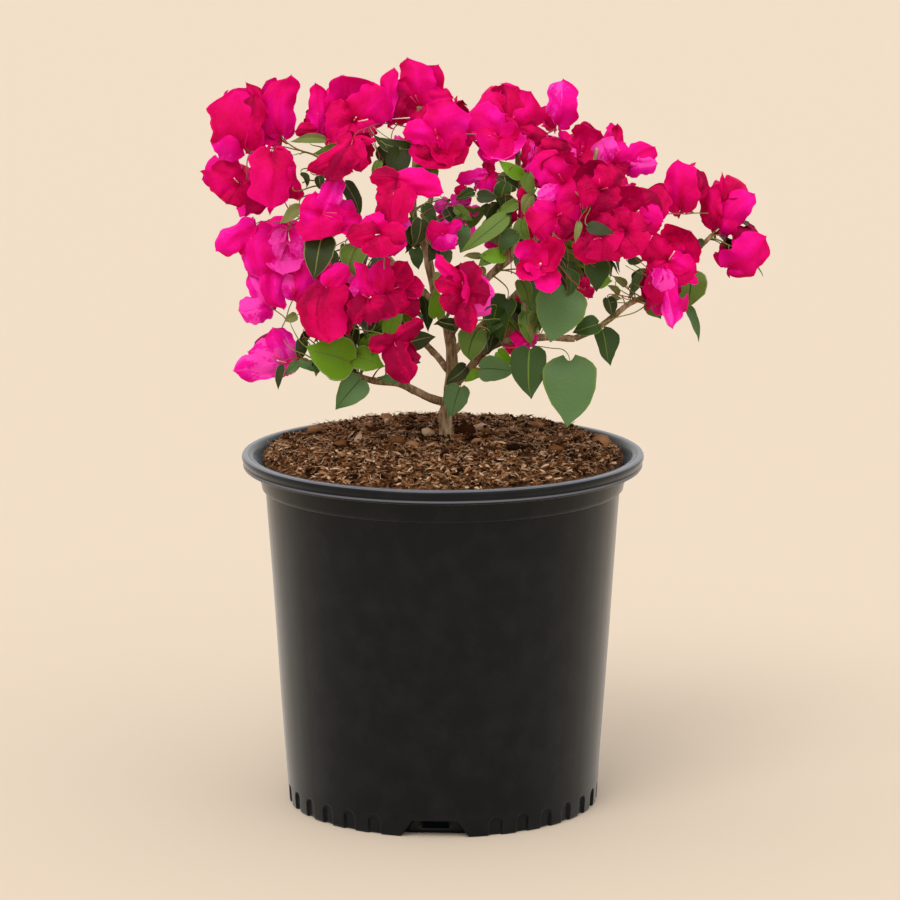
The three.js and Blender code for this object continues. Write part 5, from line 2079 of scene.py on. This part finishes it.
@dataclass
class Crown:
    """The crown: flower heads and leaves in the room of every mass, and the twigs that carry them.

    Attributes:
        wood: The wood that shoots leave from.
        seed: Picks everything that isn't listed.
        head_room: Room that one seeded head takes, in cubic centimetres.
        leaf_room: Room that one seeded leaf takes, in cubic centimetres.
        back_leaves: Leaves beside the limbs at the back, less those that would close an opening.
        inner_heads: Heads beside the limbs inside the crown, with the same exception.
        inner_depth: How far back the limbs run that carry those heads.
        inner_height: How high those limbs run.
        leafy_from: Height from which the limbs at the back carry leaves.
        head_stalk: Radius of the stalk of a listed head.
        seeded_stalk: The same of a seeded head.
        leaf_stalk: The same of a leaf.
        bare_stalk: The same at the end of a bare twig.
        fork_reach: Length from which a stalk can carry other shoots.
    """

    wood: Wood
    seed: int = 77
    head_room: float = 11.0
    leaf_room: float = 5.0
    back_leaves: int = 230
    inner_heads: int = 44
    inner_depth: tuple[float, float] = (5, 75)
    inner_height: tuple[float, float] = (335, 470)
    leafy_from: float = 318.0
    head_stalk: float = 0.42
    seeded_stalk: float = 0.45
    leaf_stalk: float = 0.34
    bare_stalk: float = 0.3
    fork_reach: float = 14.0

    def __post_init__(self) -> None:
        """Opens the stocks that take each kind of shape."""
        self.rng = np.random.default_rng(self.seed)
        self.flowers = Flowers(self.rng)
        self.foliage = Foliage(self.rng)
        self.twigs = Stock("twigs", materials(Shoot))
        self.calls: list[tuple[Vec, Vec, float]] = []

    def mass(self, node: str) -> tuple[Vec, Vec]:
        """The middle and half size of a mass, in millimetres."""
        low, high = (np.array(corner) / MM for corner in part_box(node))
        return (low + high) / 2, (high - low) / 2

    def open_sky(self, place: Vec, margin: float) -> bool:
        """Whether something of a size at a place would close an opening in the crown."""
        up = float(place[2]) + DEPTH_RISE * float(place[1])
        return any(window.holds(float(place[0]), up, margin) for window in WINDOWS)

    def set_shapes(self) -> None:
        """Grows the listed heads and leaves."""
        for node, heads in SET_HEADS.items():
            middle = self.mass(node)[0]
            for head in heads:
                foot, ahead = self.flowers.set_head(middle, head)
                self.calls.append((foot, ahead, self.head_stalk))
        for node, leaves in SET_LEAVES.items():
            middle = self.mass(node)[0]
            for leaf in leaves:
                foot = middle + LOOK.T @ np.array(leaf.at, float)
                reach = LOOK.T @ np.array(leaf.tip, float)
                self.foliage.grow(foot, foot + reach, FORE + 0.2 * UP, leaf.width, leaf.tint)
                self.calls.append((foot, unit(reach), self.leaf_stalk))

    def set_tips(self) -> None:
        """Calls for bare twigs that end where none of the listed heads and leaves are."""
        for node, ends in BARE_TIPS.items():
            middle = self.mass(node)[0]
            for end in ends:
                ahead = unit(self.rng.normal(size=3) * 0.6 + UP * 0.8)
                self.calls.append((middle + LOOK.T @ np.array(end, float), ahead, self.bare_stalk))

    def seeded_flower(self, place: Vec, toward: Vec, size: tuple[float, float]) -> None:
        """Grows a head of random habit that opens roughly one way, unless it would close an opening.

        Args:
            place: Middle of the head.
            toward: The way that it opens, roughly.
            size: Shortest and longest length of a bract.
        """
        rng = self.rng
        length = rng.uniform(*size)
        axis = unit(toward + rng.normal(scale=0.3, size=3))
        habit, tint = pick(rng, HABITS), pick(rng, BACK_TINTS)
        foot = place - axis * length * 0.45
        if self.open_sky(place, length * 0.5):
            return
        self.flowers.seeded_head(foot, axis, length, habit, tint, "back")
        self.calls.append((foot, axis, self.seeded_stalk))

    def seeded_heads(self) -> None:
        """Fills the masses at the back and the backs of the front ones."""
        rng = self.rng
        for node in nodes_of("bloom_"):
            middle, half = self.mass(node)
            if node in SET_HEADS:
                aim = unit(np.array([rng.normal(scale=0.4), 1.0, rng.normal(scale=0.3)]))
                self.seeded_flower(middle + half * aim * 0.45, aim, (20, 25))
                continue
            count = max(5, round(float(np.prod(half * 2)) * FULL / 1000 / self.head_room))
            for number in range(count):
                rise = 1 - (2 * number + 1) / count
                level = math.sqrt(max(0.0, 1 - rise**2))
                turn = number * GOLDEN_TURN + rng.uniform(0, 0.8)
                aim = np.array([level * math.cos(turn), level * math.sin(turn), rise])
                out = unit(aim + unit(middle - np.array([0, 0, 390])) * 0.5)
                self.seeded_flower(middle + half * aim * 0.55, out, (25, 33))

    def seeded_leaves(self) -> None:
        """Fills the leafy sprays behind and between the listed leaves."""
        rng = self.rng
        for node in nodes_of("leaves_"):
            if node == "leaves_hanging":
                continue
            middle, half = self.mass(node)
            back = node.startswith("leaves_back")
            count = round(float(np.prod(half * 2)) * FULL / 1000 / self.leaf_room)
            for _ in range(count):
                aim = unit(rng.normal(size=3)) * rng.uniform(0.3, 0.95)
                if not back:
                    aim[1] = abs(aim[1]) * 0.9 + 0.05
                length = rng.uniform(18, 31) if back else rng.uniform(15, 25)
                place = middle + half * aim
                hang = unit(np.array([aim[0] * 0.6, aim[1] * 0.5, -0.9]) + rng.normal(scale=0.35, size=3))
                faces = np.array([aim[0], aim[1] + (0.3 if back else -0.4), 0.5])
                faces = unit(faces + rng.normal(scale=0.3, size=3))
                if self.open_sky(place, length * 0.5):
                    continue
                tint = pick(rng, BACK_GREENS if back else FRONT_GREENS)
                foot = place - hang * length / 2
                self.foliage.grow(foot, foot + hang * length, faces, length * rng.uniform(0.6, 0.76), tint)
                self.calls.append((foot, hang, self.leaf_stalk))

    def limb_heads(self) -> None:
        """Grows more heads beside the limbs, between the masses at the front and those at the back."""
        rng = self.rng
        places = self.wood.places
        (near, far), (low, high) = self.inner_depth, self.inner_height
        deep = (places[:, 1] > near) & (places[:, 1] < far)
        inner = np.flatnonzero(deep & (places[:, 2] > low) & (places[:, 2] < high))
        for index in rng.choice(inner, self.inner_heads):
            place = places[index]
            out = unit(np.array([place[0] * 0.5, 20.0, 30.0]) + rng.normal(scale=40, size=3))
            self.seeded_flower(place + out * rng.uniform(12, 30), out, (20, 27))

    def limb_leaves(self) -> None:
        """Hangs more leaves beside the limbs in the back half of the crown."""
        rng = self.rng
        places = self.wood.places
        back = np.flatnonzero((places[:, 1] > 0) & (places[:, 2] > self.leafy_from))
        for index in rng.choice(back, self.back_leaves):
            place = places[index]
            out = unit(np.array([place[0] * 0.5, 40.0, 20.0]) + rng.normal(scale=40, size=3))
            foot = place + out * rng.uniform(7, 26)
            hang = unit(np.array([out[0] * 0.7, out[1] * 0.5, -0.8]) + rng.normal(scale=0.3, size=3))
            length = rng.uniform(17, 29)
            faces = unit(out + 0.5 * UP + rng.normal(scale=0.3, size=3))
            if self.open_sky(foot + hang * length / 2, length * 0.5):
                continue
            tint = LIMB_GREENS[int(rng.integers(len(LIMB_GREENS)))]
            self.foliage.grow(foot, foot + hang * length, faces, length * rng.uniform(0.62, 0.78), tint)
            self.calls.append((foot, hang, self.leaf_stalk))

    def shoots(self) -> None:
        """Sends a twig or stalk to everything that called for one, the nearest first."""
        rng = self.rng
        costs = [float(self.wood.costs(end).min()) for end, _, _ in self.calls]
        for index in sorted(range(len(costs)), key=costs.__getitem__):
            end, arrival, thickness = self.calls[index]
            start = self.wood.nearest(end)
            origin, lead = self.wood.places[start], self.wood.leads[start]
            gap = end - origin
            lead = unit(lead + unit(gap) * 0.9 + rng.normal(scale=0.15, size=3))
            path = bowed(origin, lead, end, arrival, 2.6)
            sway = np.stack([Ripple(500 + index * 3 + k, 24, 4).at(path) for k in range(3)], axis=1)
            path = path + sway * np.sin(np.linspace(0, math.pi, len(path)))[:, None] * 0.7
            reach = float(np.linalg.norm(gap))
            foot = min(float(self.wood.radii[start]) * 0.8, thickness + 0.012 * reach)
            radii = np.linspace(max(foot, thickness), thickness * 0.85, len(path))
            points, faces = stem(path, radii, 6)
            tint = Shoot.TAN if foot > 1.0 else Shoot.OLIVE if rng.random() < 0.6 else Shoot.RUSSET
            self.twigs.add(points, faces, number_of(tint))
            if reach > self.fork_reach and thickness > self.leaf_stalk:
                cut = int(len(path) * 0.85)
                self.wood.learn(path[:cut], radii[:cut], 0.2)

    def build(self) -> None:
        """Grows the whole crown and dresses it."""
        self.set_shapes()
        self.set_tips()
        self.seeded_heads()
        self.seeded_leaves()
        self.limb_leaves()
        self.limb_heads()
        self.shoots()
        blooms = nodes_of("bloom_")
        stands_for = {
            "front": [name for name in blooms if name in SET_HEADS],
            "back": [name for name in blooms if name not in SET_HEADS],
        }
        for side, stock in self.flowers.bracts.items():
            piece = stock.join()
            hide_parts(*stands_for[side])
        self.flowers.florets.join()
        leaves = self.foliage.leaves.join()
        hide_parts(*nodes_of("leaves_"))
        self.twigs.join()


# --- The studio ---


@dataclass(frozen=True)
class Lamp:
    """A distant, soft lamp: where it shines from, its strength and its breadth in degrees."""

    name: str
    turn: float
    rise: float
    strength: float
    breadth: float
    colour: Colour = (1.0, 0.98, 0.95)


@dataclass
class Studio:
    """The floor, the lights and the camera.

    Attributes:
        aim: The point that the camera looks at, in metres.
        distance: Distance of the camera from it.
        pitch: Degrees by which the camera looks down.
        lens: Focal length.
        floor_radius: Radius of the floor.
        horizon: Strength of the light from the side.
        zenith: Strength of the light from above.
    """

    aim: Place = (0.005, 0.0, 0.249)
    distance: float = 3.060
    pitch: float = LOOK_DOWN
    lens: float = 175.7
    floor_radius: float = 40.0
    horizon: float = 0.88
    zenith: float = 1.15
    lamps: tuple[Lamp, ...] = (
        Lamp("key", -113, 56, 1.2, 30),
        Lamp("fill", -50, 30, 0.3, 60),
    )

    def floor(self) -> Object:
        """A wide, plain, pale floor.

        Returns:
            The floor.
        """
        turn = np.linspace(0, math.tau, 96, endpoint=False)
        rings = [0.3, 1.0, 4.0, self.floor_radius]
        points = np.vstack([circle(radius, turn, 0.0) for radius in rings])
        faces = [*grid_faces(len(rings), len(turn), True)[:, ::-1].tolist(), list(range(len(turn)))]
        mesh = bpy.data.meshes.new("floor")
        mesh.from_pydata(points.tolist(), [], faces)
        surface = Surface("floor_pale", linear(209, 192, 172), 0.9)
        surface.set("Specular IOR Level", 0.1)
        surface.wire("Normal", surface.relief(surface.noise(surface.place(), 40, 3), 0.0005, 0.1))
        mesh.materials.append(surface.material)
        floor = placed("floor", mesh)
        return floor

    def sky(self) -> None:
        """Even light from all round, brighter from above."""
        world = bpy.data.worlds.new("studio")
        world.use_nodes = True
        tree = world.node_tree
        background = tree.nodes["Background"]
        height = tree.nodes.new("ShaderNodeSeparateXYZ")
        tree.links.new(tree.nodes.new("ShaderNodeTexCoord").outputs["Generated"], height.inputs[0])
        tint = tree.nodes.new("ShaderNodeValToRGB")
        tint.color_ramp.elements[0].color = linear(255, 238, 213)
        tint.color_ramp.elements[1].position = 0.22
        tint.color_ramp.elements[1].color = linear(253, 253, 253)
        tree.links.new(height.outputs["Z"], tint.inputs["Fac"])
        tree.links.new(tint.outputs["Color"], background.inputs["Color"])
        strength = tree.nodes.new("ShaderNodeMapRange")
        strength.inputs["To Min"].default_value = self.horizon
        strength.inputs["To Max"].default_value = self.zenith
        tree.links.new(height.outputs["Z"], strength.inputs["Value"])
        tree.links.new(strength.outputs["Result"], background.inputs["Strength"])
        bpy.context.scene.world = world

    def light(self) -> None:
        """The distant lamps."""
        for lamp in self.lamps:
            sun = bpy.data.lights.new(lamp.name, "SUN")
            sun.energy = lamp.strength
            sun.angle = math.radians(lamp.breadth)
            sun.color = lamp.colour
            stand = placed(lamp.name, sun)
            place = heading(lamp.turn, lamp.rise) * 3
            stand.location = place
            stand.rotation_euler = look_along(-unit(place))

    def camera(self) -> None:
        """The camera, which looks slightly down at the whole bush."""
        pitch = math.radians(self.pitch)
        towards = np.array([0.0, math.cos(pitch), -math.sin(pitch)])
        lens = bpy.data.cameras.new("camera")
        lens.lens = self.lens
        lens.clip_end = 200
        camera = placed("camera", lens)
        camera.location = np.array(self.aim) - towards * self.distance
        camera.rotation_euler = look_along(towards)
        bpy.context.scene.camera = camera

    def build(self) -> None:
        """Sets up the floor, the lights and the camera."""
        self.floor()
        self.sky()
        self.light()
        self.camera()
        bpy.context.scene.view_settings.view_transform = "Standard"


def look_along(towards: Vec) -> tuple[float, float, float]:
    """The turn of a lamp or camera that looks along a direction, kept upright."""
    level = math.hypot(towards[0], towards[1])
    return (math.atan2(level, -towards[2]), 0.0, math.atan2(-towards[0], towards[1]))


# --- The whole scene ---


def write_sizes() -> None:
    """Brings the scene's view layer up to date."""
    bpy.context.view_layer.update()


def main() -> None:
    """Builds the studio, the pot, the bark mix, the limbs and the crown, in that order."""
    logging.basicConfig(level=logging.INFO, format="%(name)s: %(message)s")
    Studio().build()
    wood = Wood()
    Pot().build()
    BarkMix().build()
    Limbs().build(wood)
    Crown(wood).build()
    write_sizes()


if __name__ == "__main__":
    main()
